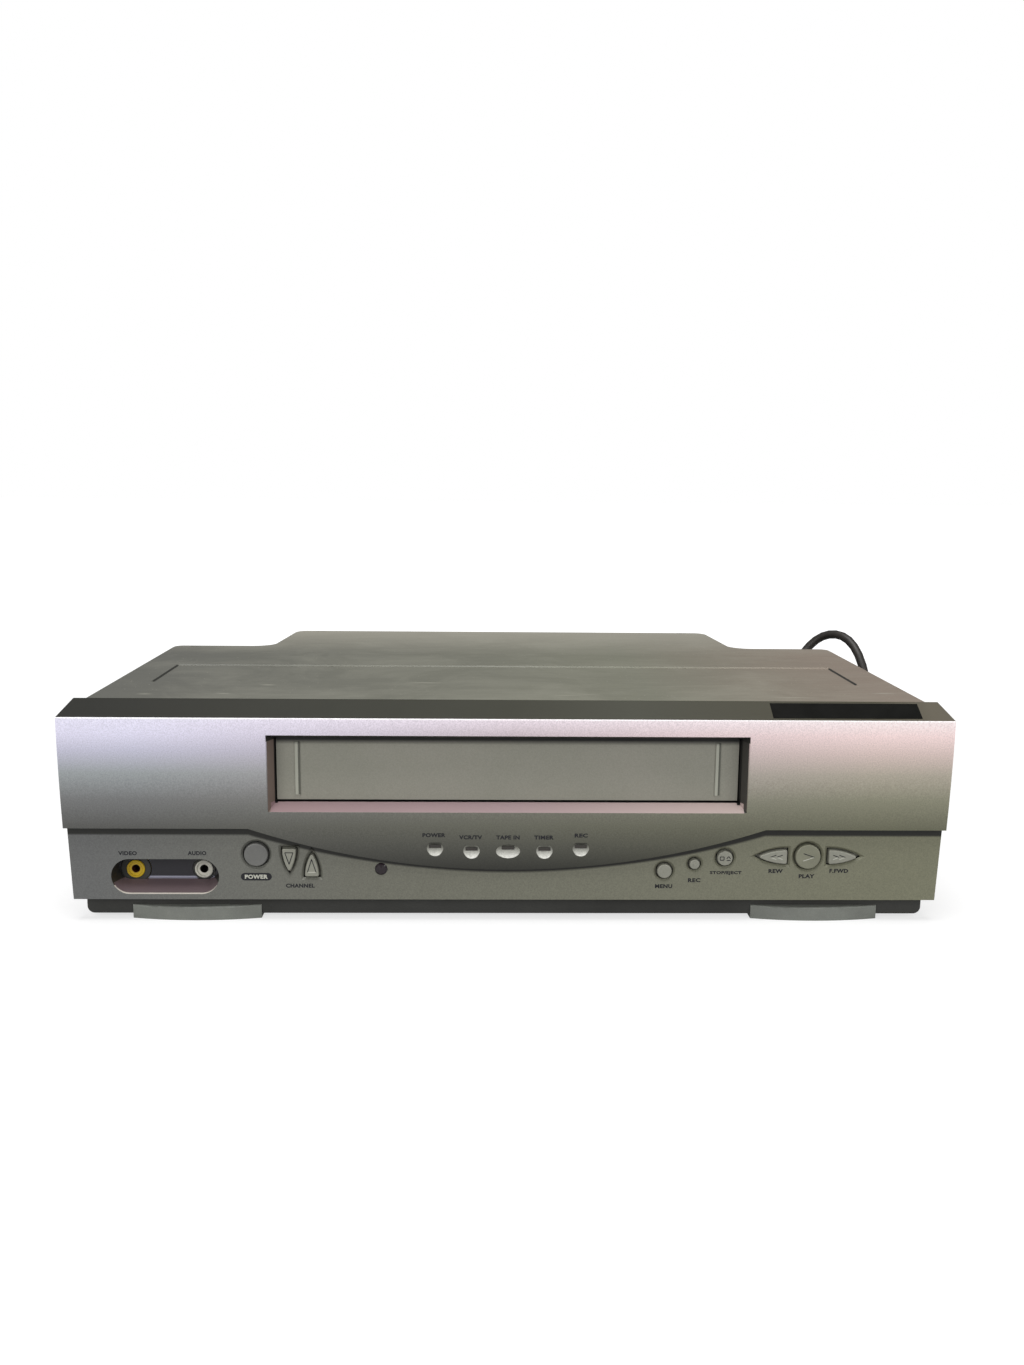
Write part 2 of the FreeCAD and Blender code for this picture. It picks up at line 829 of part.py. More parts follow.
def make_front_panel():
    """One moulding: proud crowned upper face with a tongue, set-back lower face, dark bevel."""
    low = TONGUE_BOTTOM - 1
    upper_half = S.body_width / 2 - S.split_inset
    widest = S.body_width / 2
    shoulder = S.body_width / 2 - S.shoulder_inset
    right = [(upper_half, low), (upper_half, S.split_height), (widest, FACE_TOP),
             (shoulder, S.body_height)]
    silhouette = pad("XZ_Plane", right + [(-x, z) for x, z in reversed(right)], S.panel_depth, True)
    place(silhouette, 0, FRONT, 0)
    slope = (S.body_height - FACE_TOP) / (S.cover_start - BEVEL_SETBACK)
    rim_top = COVER_UNDERSIDE - S.fit_gap
    side = [(-1.0, low), (S.cover_start, low), (S.cover_start, S.body_height),
            (-1.0, FACE_TOP - slope * (BEVEL_SETBACK + 1))]
    profile = pad("YZ_Plane", side, ACROSS)
    place(profile, -ACROSS / 2, FRONT, 0)
    crown = rod(-ACROSS / 2, FRONT + S.face_radius, CROWN_HEIGHT, S.face_radius, ACROSS, RIGHTWARD)
    above_split = slab(S.body_width + 2, FRONT - 1, S.panel_depth + 2,
                       S.split_height, S.body_height - S.split_height + 1)
    tongue_disc = rod(0, FRONT - 1, TONGUE_BOTTOM + TONGUE_RADIUS, TONGUE_RADIUS, S.panel_depth, BACKWARD)
    tongue_block = slab(S.tongue_half_width * 2, FRONT - 1, S.panel_depth, low, S.tongue_drop + 1.5)
    upper = common(silhouette, profile, crown, join(above_split, common(tongue_disc, tongue_block)))

    bottom_half = S.body_width / 2 - S.lower_bottom_inset
    top_half = S.body_width / 2 - S.lower_top_inset
    lower_corners = [(-bottom_half, S.panel_bottom), (bottom_half, S.panel_bottom),
                     (top_half, S.split_height + 1), (-top_half, S.split_height + 1)]
    lower = pad("XZ_Plane", lower_corners, S.cover_start - S.lower_setback, True)
    place(lower, 0, LOWER_FACE, 0)
    rim = slab(RIM_HALF * 2, COVER_START - 1, S.panel_depth - S.cover_start + 1,
               S.panel_bottom, rim_top - S.panel_bottom)

    inner_half = RIM_HALF - S.panel_rim
    floor = S.panel_bottom + S.panel_wall
    cavity = slab(inner_half * 2, LOWER_INSIDE, S.panel_depth, floor, FACE_TOP - floor - S.panel_wall)
    upper_cavity = slab(inner_half * 2, FRONT + S.panel_wall + 1, S.panel_depth,
                        S.split_height + S.panel_wall, FACE_TOP - S.split_height - S.panel_wall * 3)
    side_cavity_width = S.body_width / 2 - RIM_HALF - S.panel_wall * 2 - 1.0
    side_cavities = [box(x, LOWER_INSIDE, floor, side_cavity_width, S.panel_depth,
                         FACE_TOP - floor - S.panel_wall * 2)
                     for x in (RIM_HALF + S.panel_wall * 0.8,
                               -RIM_HALF - S.panel_wall * 0.8 - side_cavity_width)]
    shell = cut(join(upper, lower, rim), cavity, upper_cavity, *side_cavities)

    collar_wall = 2.2
    collar = slab(S.mouth_width + (S.mouth_splay + collar_wall) * 2, FRONT + 1.6,
                  S.mouth_depth + 4.4, MOUTH_BOTTOM - S.sill_drop - collar_wall,
                  S.mouth_height + S.sill_drop + S.lintel_rise + collar_wall * 2 + 1.4)
    recess_block = slab_at(S.recess_x, S.recess_width + 4, LOWER_FACE + 1.0,
                           S.recess_depth + S.recess_back - 1.0, floor - 1.0,
                           S.recess_z + S.recess_height / 2 + 2.5 - floor + 1.0)
    posts = []
    for x, z in key_board_posts():
        posts.append(rod(x, LOWER_FACE + 1.0, z, 2.2, BOARD_FRONT - LOWER_FACE - 1.0, BACKWARD))
    solid = join(shell, collar, recess_block, *posts)

    half = S.mouth_width / 2
    near = (-half - S.mouth_splay, half + S.mouth_splay,
            MOUTH_BOTTOM - S.sill_drop, MOUTH_TOP + S.lintel_rise)
    far = (-half, half, MOUTH_BOTTOM, MOUTH_TOP)
    splayed = splay(FRONT + 0.3, S.mouth_depth - 0.3, near, far)
    in_front = slab(S.mouth_width + S.mouth_splay * 2, FRONT - 1, 1.31,
                    MOUTH_BOTTOM - S.sill_drop, S.mouth_height + S.sill_drop + S.lintel_rise)
    straight = slab(S.mouth_width, FRONT + S.mouth_depth - 0.1, S.panel_depth,
                    MOUTH_BOTTOM, S.mouth_height)
    flap_pocket = slab(S.mouth_width, FRONT + S.mouth_depth, S.panel_depth,
                       MOUTH_TOP - 1, S.flap_rise + 0.5 + 1)
    pin_hole = rod(-half - S.flap_pin_length - S.fit_gap, HINGE_Y, HINGE_Z,
                   S.flap_pin_radius + S.pin_clearance,
                   S.mouth_width + (S.flap_pin_length + S.fit_gap) * 2, RIGHTWARD)
    scoops, slots = make_dimples()
    windows = [slot_block(x, z, FRONT, S.panel_depth, 0.0) for x, z in slots]
    wells = []
    for x, z, radius in ROUND_BUTTONS.values():
        wells.append(rod(x, LOWER_FACE - 1, z, radius + S.button_gap, S.panel_wall + 2, BACKWARD))
        wells.append(cone(x, LOWER_FACE, z, radius + S.button_gap + S.well_chamfer,
                          radius + S.button_gap, S.well_chamfer, BACKWARD))
    for shape in POINTED_BUTTONS.values():
        wells.append(pointed(*shape, LOWER_FACE - 1, S.panel_wall + 2, S.button_gap))
        wells.append(pointed(*shape, LOWER_FACE, S.well_chamfer, S.button_gap, S.well_chamfer))
    sensor_hole = rod(S.sensor_x, LOWER_FACE - 1, S.sensor_z, S.sensor_radius + 0.1,
                      S.panel_wall + 2, BACKWARD)
    jack_holes = [rod(x, LOWER_FACE + S.recess_depth - 1, S.front_jack_z, radius, S.recess_back + 2,
                      BACKWARD)
                  for x, radius in ((VIDEO_X, S.video_cutout_radius), (AUDIO_X, S.audio_cutout_radius))]
    holed = cut(solid, splayed, in_front, straight, flap_pocket, pin_hole, make_recess_space(), sensor_hole,
                *jack_holes, *wells, *windows, *scoops)

    def is_face_rim(points):
        along = all(is_near(point.z, FACE_TOP) and abs(point.y - value_of(FRONT + BEVEL_SETBACK)) < 0.05
                    for point in points)
        return along and abs(points[0].x - points[1].x) > 10

    node("front_panel", softened(holed, is_face_rim, S.face_edge_radius))


def slab_at(x, width, y, depth, z, height):
    """A block centred on an x of its own."""
    return box(x - width / 2, y, z, width, depth, height)


def key_board_posts():
    """Posts on the inside of the panel that the three small boards are screwed to."""
    low = S.panel_bottom + S.panel_wall + 4.0
    middle = S.indicator_pitch * 2.6
    return [(S.power_x - 8.5, low), (S.channel_up_x + 6.5, low + 1), (S.menu_x - 8.5, low),
            (S.play_x - 14.0, low), (-middle, low + 4.0), (middle, low + 4.0)]


HINGE_Y = FRONT + S.mouth_depth + 0.7 + S.flap_thickness / 2
HINGE_Z = MOUTH_TOP + S.flap_pin_rise
VIDEO_X = S.recess_x - S.front_jack_spacing / 2
AUDIO_X = S.recess_x + S.front_jack_spacing / 2


def make_cassette_door():
    """A flat flap with two upright ribs and a pin at each end of its top edge."""
    width = S.mouth_width - S.flap_side_gap * 2
    bottom = MOUTH_BOTTOM + S.flap_sill_gap
    height = S.mouth_height - S.flap_sill_gap + S.flap_rise
    front = HINGE_Y - S.flap_thickness / 2
    plate = slab(width, front, S.flap_thickness, bottom, height)
    rib_length = S.mouth_height - S.flap_sill_gap - S.flap_rib_margin * 2
    ribs = [slab_at(S.flap_rib_x * side, S.flap_rib_width, front - S.flap_rib_height,
                    S.flap_rib_height + 0.5, bottom + S.flap_rib_margin, rib_length) for side in (-1, 1)]
    pins = [rod(x, HINGE_Y, HINGE_Z, S.flap_pin_radius, S.flap_pin_length + S.flap_side_gap + 1, RIGHTWARD)
            for x in (-width / 2 - S.flap_pin_length - S.flap_side_gap, width / 2 - 1)]
    node("cassette_door", join(plate, *ribs, *pins))


def make_buttons():
    """Each cap stands in its well, with a flange behind the panel and a stem to its switch."""
    cap_front = LOWER_FACE - S.button_stand
    cap_depth = FLANGE_Y + S.flange_thickness / 2 - cap_front
    for label, (x, z, radius) in ROUND_BUTTONS.items():
        cap = rod(x, cap_front, z, radius, cap_depth, BACKWARD)

        def is_cap_rim(points):
            return all(is_near(point.y, cap_front) for point in points)

        soft_cap = softened(cap, is_cap_rim, S.cap_edge_radius)
        flange = rod(x, FLANGE_Y, z, radius + S.flange_width, S.flange_thickness, BACKWARD)
        stem = rod(x, STEM_START - 0.5, z, S.stem_radius, STEM_END - STEM_START + 0.5, BACKWARD)
        parts = [soft_cap, flange, stem]
        if label == "record_button":
            parts.append(rod(x, cap_front - 0.35, z, 0.65, 0.6, BACKWARD))
        node(label, join(*parts))
    for label, shape in POINTED_BUTTONS.items():
        x, z, length, width, aim_x, aim_z = shape
        leaf = pointed(*shape, cap_front, cap_depth)

        def is_upright(points):
            return abs(points[0].y - points[1].y) > 1

        blunt = softened(leaf, is_upright, S.cap_edge_radius * 1.4)

        def is_leaf_rim(points):
            return all(is_near(point.y, cap_front) for point in points)

        soft_cap = softened(blunt, is_leaf_rim, S.cap_edge_radius)
        flange = pointed(*shape, FLANGE_Y, S.flange_thickness, S.flange_width)
        stem_x, stem_z = button_middle(x, z, length, aim_x, aim_z)
        stem = rod(stem_x, STEM_START - 0.5, stem_z, S.stem_radius, STEM_END - STEM_START + 0.5, BACKWARD)
        node(label, join(soft_cap, flange, stem))


def make_indicators():
    """Five dark windows on one carrier bar, and the round remote-control window."""
    slots = window_places()
    fronts = S.panel_wall * 0.9
    windows = [slot_block(x, z, FRONT + fronts, LOWER_INSIDE - FRONT - fronts + 1.0, 0.05) for x, z in slots]
    top = S.indicator_high_top - S.slot_below_top + S.slot_height
    bar = slab(S.indicator_pitch * 4 + S.slot_width + 3, LOWER_INSIDE, 1.2, top - 4.5, 5.0)
    node("indicator_lenses", join(bar, *windows))
    radius = S.sensor_radius
    lens = [(0, 0), (radius + 1.2, 0), (radius + 1.2, 1.0), (radius, 1.0), (radius, S.panel_wall + 1.0),
            (radius * 0.75, S.panel_wall + 1.5), (0, S.panel_wall + 1.8)]
    node("sensor_lens", turned(lens, S.sensor_x, LOWER_INSIDE + 1.0, S.sensor_z, FORWARD))


def window_places():
    """The middle of each indicator window."""
    tops = {2: S.indicator_high_top, 1: S.indicator_low_top,
            0: S.indicator_oval_z + S.indicator_oval_height / 2}
    return [(S.indicator_pitch * place, tops[abs(place)] - S.slot_below_top) for place in (-2, -1, 0, 1, 2)]


def screw_positions():
    """X and rear face of each cover screw."""
    return [(x * side, rear) for x, rear in ((S.side_slot_x, SIDE_REAR), (S.bay_slot_x, REAR))
            for side in (-1, 1)]


def screw_holes():
    """Clearance for the four cover screws, through the lip and the chassis behind it."""
    length = S.screw_head_height * 3.5
    return [rod(x, rear - length, S.body_height - S.screw_drop, S.screw_head_height * 0.7 + 0.1,
                length + 1, BACKWARD) for x, rear in screw_positions()]


def make_socket(label, x, cutout_radius):
    """A phono socket: sleeve and insert in the recess wall, and a block behind."""
    wall_rear = LOWER_FACE + S.recess_depth + S.recess_back
    body_front = wall_rear + S.fit_gap
    sleeve_front = LOWER_FACE + S.recess_depth - S.fit_gap
    reach = body_front + 1 - sleeve_front
    corners = [(S.jack_bore_radius, 0), (S.jack_insert_radius, 0), (S.jack_insert_radius, 0.6),
               (S.jack_insert_radius + 0.2, 0.6), (S.jack_insert_radius + 0.2, 0),
               (cutout_radius - 0.4, 0.4), (cutout_radius - 0.4, reach), (S.jack_bore_radius, reach)]
    sleeve = turned(corners, x, sleeve_front, S.front_jack_z, BACKWARD)
    half = S.jack_body_size / 2
    block = box(x - half, body_front, S.front_jack_z - half, S.jack_body_size, S.jack_body_depth,
                S.jack_body_size)
    bore = rod(x, sleeve_front - 1, S.front_jack_z, S.jack_bore_radius, S.jack_sleeve + 1, BACKWARD)
    node(label, cut(join(block, sleeve), bore))


SOCKET_BOARD_Y = LOWER_FACE + S.recess_depth + S.recess_back + S.fit_gap + S.jack_body_depth


def make_front_boards():
    """Small boards behind the panel: sockets, keys and indicators."""
    make_socket("front_video_jack", VIDEO_X, S.video_cutout_radius)
    make_socket("front_audio_jack", AUDIO_X, S.audio_cutout_radius)
    node("front_jack_board", box(S.recess_x - S.recess_width / 2, SOCKET_BOARD_Y, BOARD_TOP + S.fit_gap,
                                 S.recess_width, S.board, S.front_jack_z))
    bottom = S.panel_bottom + S.panel_wall + 1.2
    height = S.indicator_high_top - bottom + 2.0
    boards = (
        (S.power_x - 11.5, S.channel_up_x + 9.5,
         ("power_button", "channel_down_button", "channel_up_button")),
        (S.menu_x - 11.5, S.forward_x + S.wind_length + 2.0,
         ("menu_button", "record_button", "stop_eject_button", "rewind_button",
          "play_button", "fast_forward_button")),
    )
    key_boards = []
    for left, right, buttons in boards:
        parts = [box(left, BOARD_FRONT, bottom, right - left, S.board, height)]
        for button in buttons:
            if button in ROUND_BUTTONS:
                x, z = ROUND_BUTTONS[button][:2]
            else:
                x, z, length, width, aim_x, aim_z = POINTED_BUTTONS[button]
                x, z = button_middle(x, z, length, aim_x, aim_z)
            parts.append(box(x - S.switch_size / 2, BOARD_FRONT - S.switch_depth, z - S.switch_size / 2,
                             S.switch_size, S.switch_depth + 0.5, S.switch_size))
            parts.append(rod(x, BOARD_FRONT - S.switch_depth - S.plunger_length, z, S.plunger_radius,
                             S.plunger_length + 0.5, BACKWARD))
        key_boards.append(join(*parts))
    node("key_boards", group(*key_boards))
    left = S.sensor_x - 7.0
    parts = [box(left, BOARD_FRONT, bottom, S.indicator_pitch * 2.9 - left, S.board, height)]
    lamp_front = LOWER_INSIDE + 1.2 + S.fit_gap
    for x, z in window_places():
        parts.append(rod(x, lamp_front, z, 1.5, BOARD_FRONT - lamp_front + 0.5, BACKWARD))
    eye_front = LOWER_INSIDE + 1.0 + S.fit_gap
    parts.append(box(S.sensor_x - 3.0, eye_front, S.sensor_z - 3.5, 6.0, BOARD_FRONT - eye_front + 0.5, 7.0))
    node("indicator_board", join(*parts))


BOSSES = ((S.boss_x, S.boss_front_y), (S.boss_x, S.boss_rear_y), (S.inner_boss_x, S.inner_boss_y))
DECK_POSTS = ((S.deck_post_x, S.deck_post_front_y), (S.deck_post_x, S.deck_post_middle_y),
              (S.deck_post_x, S.body_depth - S.deck_rear_gap - S.deck_post_rear_inset))


def rear_openings(clearance):
    """Round holes in the rear wall: aerial sockets, AV sockets and the mains lead, as (x, z, radius)."""
    holes = [(S.tuner_x, S.aerial_low_z + S.aerial_pitch * step,
              S.aerial_radius + S.aerial_collar + clearance) for step in (0, 1)]
    holes += [(S.av_x, S.av_low_z + S.av_pitch * step, S.jack_radius + clearance) for step in range(4)]
    holes.append((S.cord_exit_x, S.cord_exit_z, S.relief_radius + 0.1))
    return holes


def make_chassis():
    """Moulded tray: floor, low side walls, full rear wall, a front strip, bosses and deck posts."""
    outer = case_block(WALL_INSET, S.chassis_bottom, COVER_UNDERSIDE - S.fit_gap)
    inner = case_block(WALL_INSET + S.chassis_wall, FLOOR_TOP, S.body_height + 1)
    above_sides = slab(ACROSS, COVER_START - 1, S.side_bay_depth - S.rear_wall_return - S.cover_start + 1,
                       S.chassis_side_height, S.body_height)
    strip_height = S.chassis_side_height - S.strip_bottom
    strip_front = slab(COVER_WIDTH + S.strip_overhang * 2, FRONT + S.strip_setback,
                       S.cover_start - S.fit_gap - S.strip_setback, S.strip_bottom, strip_height)

    def is_lower_end(points):
        low = all(is_near(point.z, S.strip_bottom) for point in points)
        return low and abs(points[0].x - points[1].x) < 0.01

    strip = softened(strip_front, is_lower_end, S.strip_corner)
    strip_rear = slab(RIM_HALF * 2, COVER_START - S.fit_gap - 0.01,
                      S.strip_setback + S.strip_depth - S.cover_start + S.fit_gap,
                      S.strip_bottom, strip_height)
    bosses = [rod(x * side, FRONT + y, FLOOR_TOP - 0.5, S.boss_radius, S.boss_height + 0.5)
              for x, y in BOSSES for side in (-1, 1)]
    posts = [rod(x * side, FRONT + y, FLOOR_TOP - 0.5, S.deck_post_radius, S.deck_underside - FLOOR_TOP + 0.5)
             for x, y in DECK_POSTS for side in (-1, 1)]
    pivot_x, pivot_y = S.takeup_pivot_x, REAR - S.takeup_pivot_y
    posts.append(rod(pivot_x, pivot_y, FLOOR_TOP - 0.5, 4.0, TAKEUP_ARM_Z - 0.2 - FLOOR_TOP + 0.5))
    posts.append(rod(pivot_x, pivot_y, TAKEUP_ARM_Z - 1, S.post_radius, ARM_SHEET + 1.1))
    tray = join(cut(outer, inner, above_sides), strip, strip_rear, *bosses, *posts)
    through = S.chassis_wall * 3
    holes = [rod(x, SIDE_REAR - WALL_INSET - through / 2, z, radius, through, BACKWARD)
             for x, z, radius in rear_openings(S.fit_gap)]
    vents = []
    for step in range(8):
        for side in (-1, 1):
            x = (S.tuner_width + S.vent_pitch * step) * side
            vents.append(box(x - S.vent_width / 2, REAR - WALL_INSET - through / 2, S.vent_length,
                             S.vent_width, through, S.vent_length))
        vents.append(box(S.transformer_x - 6.0 + S.vent_pitch * step, FRONT + 40.0, S.chassis_bottom - 1,
                         S.vent_width, S.vent_length, S.chassis_wall + 2))
    node("chassis", cut(tray, *holes, *vents, *screw_holes()))


def make_feet():
    """Two broad moulded front feet with bowed fronts, and two rubber discs at the rear."""
    front = FRONT + S.foot_front
    chord = S.foot_width / 2
    radius = (chord * chord + S.foot_bulge * S.foot_bulge) / (S.foot_bulge * 2)
    left = S.foot_inner_x
    toe = box(left, front, 0, S.foot_width, S.strip_setback - S.foot_front, S.foot_height)
    sole = box(left, front, 0, S.foot_width, S.foot_depth, S.strip_bottom)
    heel_start = S.strip_setback + S.strip_depth - S.fit_gap
    heel = box(left + 4, FRONT + heel_start + 0.4, 0, S.foot_width - 8,
               S.foot_front + S.foot_depth - heel_start - 0.4, S.chassis_bottom)
    round_front = rod(left + chord, front + radius, -1, radius, S.foot_height + 2)
    foot = common(join(toe, sole, heel), round_front)

    def is_top_front(points):
        high = all(is_near(point.z, S.foot_height) for point in points)
        return high and abs(points[0].x - points[1].x) > 20 and points[2].y < value_of(front) + 1

    foot = softened(foot, is_top_front, S.face_edge_radius)
    node("front_feet", group(foot, mirrored(foot)))
    disc = [(0, 0), (S.rear_foot_radius - 1, 0), (S.rear_foot_radius, S.chassis_bottom),
            (0, S.chassis_bottom)]
    feet = [turned(disc, S.rear_foot_x * side, REAR - S.rear_foot_inset, 0) for side in (-1, 1)]
    node("rear_feet", group(*feet))


def make_label():
    """A thin blank sticker on the dark bevel above the face."""
    run = S.cover_start - BEVEL_SETBACK
    rise = S.body_height - FACE_TOP
    start = BEVEL_SETBACK + run * 0.12
    length = run * 0.76
    lift = LABEL_THICKNESS + 0.02
    corners = [(start, FACE_TOP + rise * 0.12 + 0.02), (start + length, FACE_TOP + rise * 0.88 + 0.02),
               (start + length - lift * 0.5, FACE_TOP + rise * 0.88 + lift * 0.86),
               (start - lift * 0.5, FACE_TOP + rise * 0.12 + lift * 0.86)]
    strip = pad("YZ_Plane", corners, S.bevel_label_width)
    node("label_plate", place(strip, S.label_x, FRONT, 0))


LABEL_THICKNESS = 0.15
ARM_SHEET = 1.2
SUPPLY_ARM_Z = S.deck_underside - 1.8
TAKEUP_ARM_Z = S.deck_underside - 3.4


def make_main_board():
    """The main board and what stands on it."""
    depth = S.main_board_rear - S.main_board_front
    board = slab(S.main_board_width, FRONT + S.main_board_front, depth, BOARD_UNDERSIDE, S.board)
    post_holes = [rod(x * side, FRONT + y, BOARD_UNDERSIDE - 1, S.deck_post_radius + 0.5, S.board + 2)
                  for x, y in DECK_POSTS[:2] for side in (-1, 1)]
    node("main_board", cut(board, *post_holes))
    core_height = S.transformer_height
    middle_y = FRONT + S.transformer_y
    core = box(S.transformer_x, middle_y, BOARD_TOP,
               S.transformer_width, S.transformer_depth * 0.5, core_height)
    winding = box(S.transformer_x + 5, middle_y - 7, BOARD_TOP + 5, S.transformer_width - 10,
                  S.transformer_depth, core_height - 10)
    feet = box(S.transformer_x - 4, middle_y, BOARD_TOP, S.transformer_width + 8,
               S.transformer_depth * 0.5, 1.5)
    node("transformer", join(core, winding, feet))
    cans = []
    for across, back in ((0, 0), (1, 0), (0.5, 1)):
        x = S.capacitor_x + S.capacitor_spacing * across
        y = S.capacitor_y + S.capacitor_row * back
        cans.append(turned([(0, 0), (S.capacitor_radius - 0.4, 0), (S.capacitor_radius - 0.4, 2),
                            (S.capacitor_radius, 2.6), (S.capacitor_radius, S.capacitor_height - 0.6),
                            (S.capacitor_radius - 0.6, S.capacitor_height), (0, S.capacitor_height)],
                           x, FRONT + y, BOARD_TOP))
    node("capacitors", group(*cans))
    sink_y = FRONT + S.heat_sink_y
    sink = [box(S.heat_sink_x, sink_y, BOARD_TOP, S.heat_sink_width, S.heat_sink_sheet, S.heat_sink_height)]
    sink += [box(S.heat_sink_x + S.fin_pitch * step, sink_y - S.fin_depth, BOARD_TOP, S.heat_sink_sheet,
                 S.fin_depth + S.heat_sink_sheet / 2, S.heat_sink_height) for step in range(6)]
    node("heat_sink", join(*sink))
    rear_inside = SIDE_REAR - WALL_INSET - S.chassis_wall
    can_rear = rear_inside - S.fit_gap
    can = box(S.tuner_x - S.tuner_width / 2, can_rear - S.tuner_depth, BOARD_TOP, S.tuner_width,
              S.tuner_depth, S.tuner_height)
    collar_reach = S.fit_gap + S.chassis_wall + 0.5
    aerials = []
    pins = []
    for step in (0, 1):
        z = S.aerial_low_z + S.aerial_pitch * step
        aerials.append(rod(S.tuner_x, can_rear - 0.5, z, S.aerial_radius + S.aerial_collar,
                           collar_reach + 0.5, BACKWARD))
        aerials.append(rod(S.tuner_x, can_rear, z, S.aerial_radius, collar_reach + S.aerial_length, BACKWARD))
        pins.append(rod(S.tuner_x, can_rear + 2, z, 1.0, S.aerial_length * 2, BACKWARD))
    node("tuner_unit", cut(join(can, *aerials), *pins))
    jacks = []
    for step in range(4):
        z = S.av_low_z + S.av_pitch * step
        low = z - (S.av_pitch - S.fit_gap) / 2 if step else BOARD_TOP
        block = box(S.av_x - S.av_width / 2, can_rear - S.av_body_depth, low, S.av_width,
                    S.av_body_depth, z + (S.av_pitch - S.fit_gap) / 2 - low)
        sleeve = rod(S.av_x, can_rear - 0.5, z, S.jack_radius,
                     S.fit_gap + S.chassis_wall + WALL_INSET + S.jack_sleeve, BACKWARD)
        bore = rod(S.av_x, can_rear - S.av_bore_sink, z, S.jack_bore_radius, S.jack_sleeve * 3, BACKWARD)
        jacks.append(cut(join(block, sleeve), bore))
    node("rear_av_jacks", group(*jacks))


HOLDER_MIDDLE = FRONT + S.holder_front + S.holder_depth / 2
HOLDER_HALF = S.cassette_width / 2 + S.holder_slack
HOLDER_BOTTOM = MOUTH_BOTTOM + S.flap_sill_gap - S.holder_sheet
HOLDER_HEIGHT = S.cassette_height + S.holder_slack + S.holder_sheet * 2
PIN_Z = HOLDER_BOTTOM + HOLDER_HEIGHT / 2
REEL_Y = FRONT + S.reel_y
REEL_X = S.reel_spacing / 2
REEL_BOTTOM = DECK_TOP + S.reel_lift
IDLER_ARM_LENGTH = S.clutch_wheel_radius + S.idler_radius + S.tyre_gap
PULLEY_BOTTOM = S.deck_underside - 6.0
SHAFT_BORE = S.post_radius + S.shaft_clearance


def on_circle(x, y, radius, angle):
    """A point at a distance and a bearing from another."""
    return x + radius * cosine(angle), y + radius * sine(angle)


def curved_slot(x, y, radius, angle, sweep, width, z, depth):
    """A slot along part of a circle, with round ends."""
    half = width / 2
    ring = cut(rod(x, y, z, radius + half, depth), rod(x, y, z - 1, radius - half, depth + 2))
    low, high = sorted((angle, angle + sweep), key=value_of)
    reach = radius * 2
    middle = (low + high) / 2
    spread = (high - low) / 2
    corners = [(0, 0), (reach * cosine(spread), -reach * sine(spread)),
               (reach * cosine(spread), reach * sine(spread))]
    sector = pad("XY_Plane", corners, depth)
    place(sector, x, y, z, Rotation(Vector(0, 0, 1), value_of(middle)))
    ends = [rod(*on_circle(x, y, radius, bearing), z, half, depth) for bearing in (low, high)]
    return join(common(ring, sector), *ends)


def make_deck_frame():
    """The flat deck with its posts and slots, and the two upright brackets for the cassette holder."""
    plate = slab(S.deck_width, FRONT + S.deck_front, S.body_depth - S.deck_rear_gap - S.deck_front,
                 S.deck_underside, S.deck_sheet)
    below = S.deck_underside - 1
    through = S.deck_sheet + 2
    supply = (S.supply_pivot_x, REAR - S.supply_pivot_y)
    takeup = (S.takeup_pivot_x, REAR - S.takeup_pivot_y)
    slots = [
        curved_slot(*supply, S.loading_arm_length, S.supply_rest_angle, -S.supply_sweep,
                    S.guide_slot, below, through),
        curved_slot(*takeup, S.loading_arm_length, S.takeup_rest_angle, S.takeup_sweep,
                    S.guide_slot, below, through),
    ]
    holes = [rod(0, FRONT + S.clutch_y, below, SHAFT_BORE, through)]
    capstan = (S.capstan_x, REAR - S.capstan_y)
    bearing = rod(*capstan, S.deck_underside - 0.6, S.capstan_bearing_radius, S.deck_sheet + 6.0)
    bore = rod(*capstan, S.deck_underside - 2, S.capstan_radius + 0.03, S.deck_sheet + 12.0)
    posts = [rod(REEL_X * side, REEL_Y, DECK_TOP - 0.5, S.post_radius,
                 REEL_BOTTOM - DECK_TOP + S.reel_rim + S.reel_hub_height + S.spindle_height - 0.5 + 0.5)
             for side in (-1, 1)]
    posts.append(rod(*supply, SUPPLY_ARM_Z - 0.1, S.post_radius, S.deck_underside - SUPPLY_ARM_Z + 0.3))
    posts.append(rod(S.cam_x, REAR - S.cam_y, DECK_TOP - 0.5, S.post_radius, S.gear_thickness + 1.6))
    posts.append(rod(S.pinch_pivot_x, REAR - S.pinch_pivot_y, DECK_TOP - 0.5, S.post_radius, 6.0))
    posts.append(rod(S.tension_pivot_x, REAR - S.tension_pivot_y, DECK_TOP - 0.5, S.post_radius, 3.0))
    node("deck_plate", cut(join(plate, bearing, *posts), bore, *slots, *holes))

    inner = S.deck_width / 2 - 2.0
    height = BRACKET_TOP - DECK_TOP
    bracket_depth = S.bracket_rear - S.deck_front
    wall = box(inner, FRONT + S.deck_front, DECK_TOP, S.bracket_sheet, bracket_depth, height)
    flange = box(inner, FRONT + S.deck_front, BRACKET_TOP - S.bracket_sheet,
                 S.bracket_flange + S.bracket_sheet, bracket_depth, S.bracket_sheet)
    windows = [box(inner - 1, FRONT + S.deck_front + 12.0 + 38.0 * step, DECK_TOP + 38.0, 3.2 + 1, 26.0, 12.0)
               for step in range(3)]
    bracket = cut(join(wall, flange), *windows)
    node("deck_side_plates", group(bracket, mirrored(bracket)))


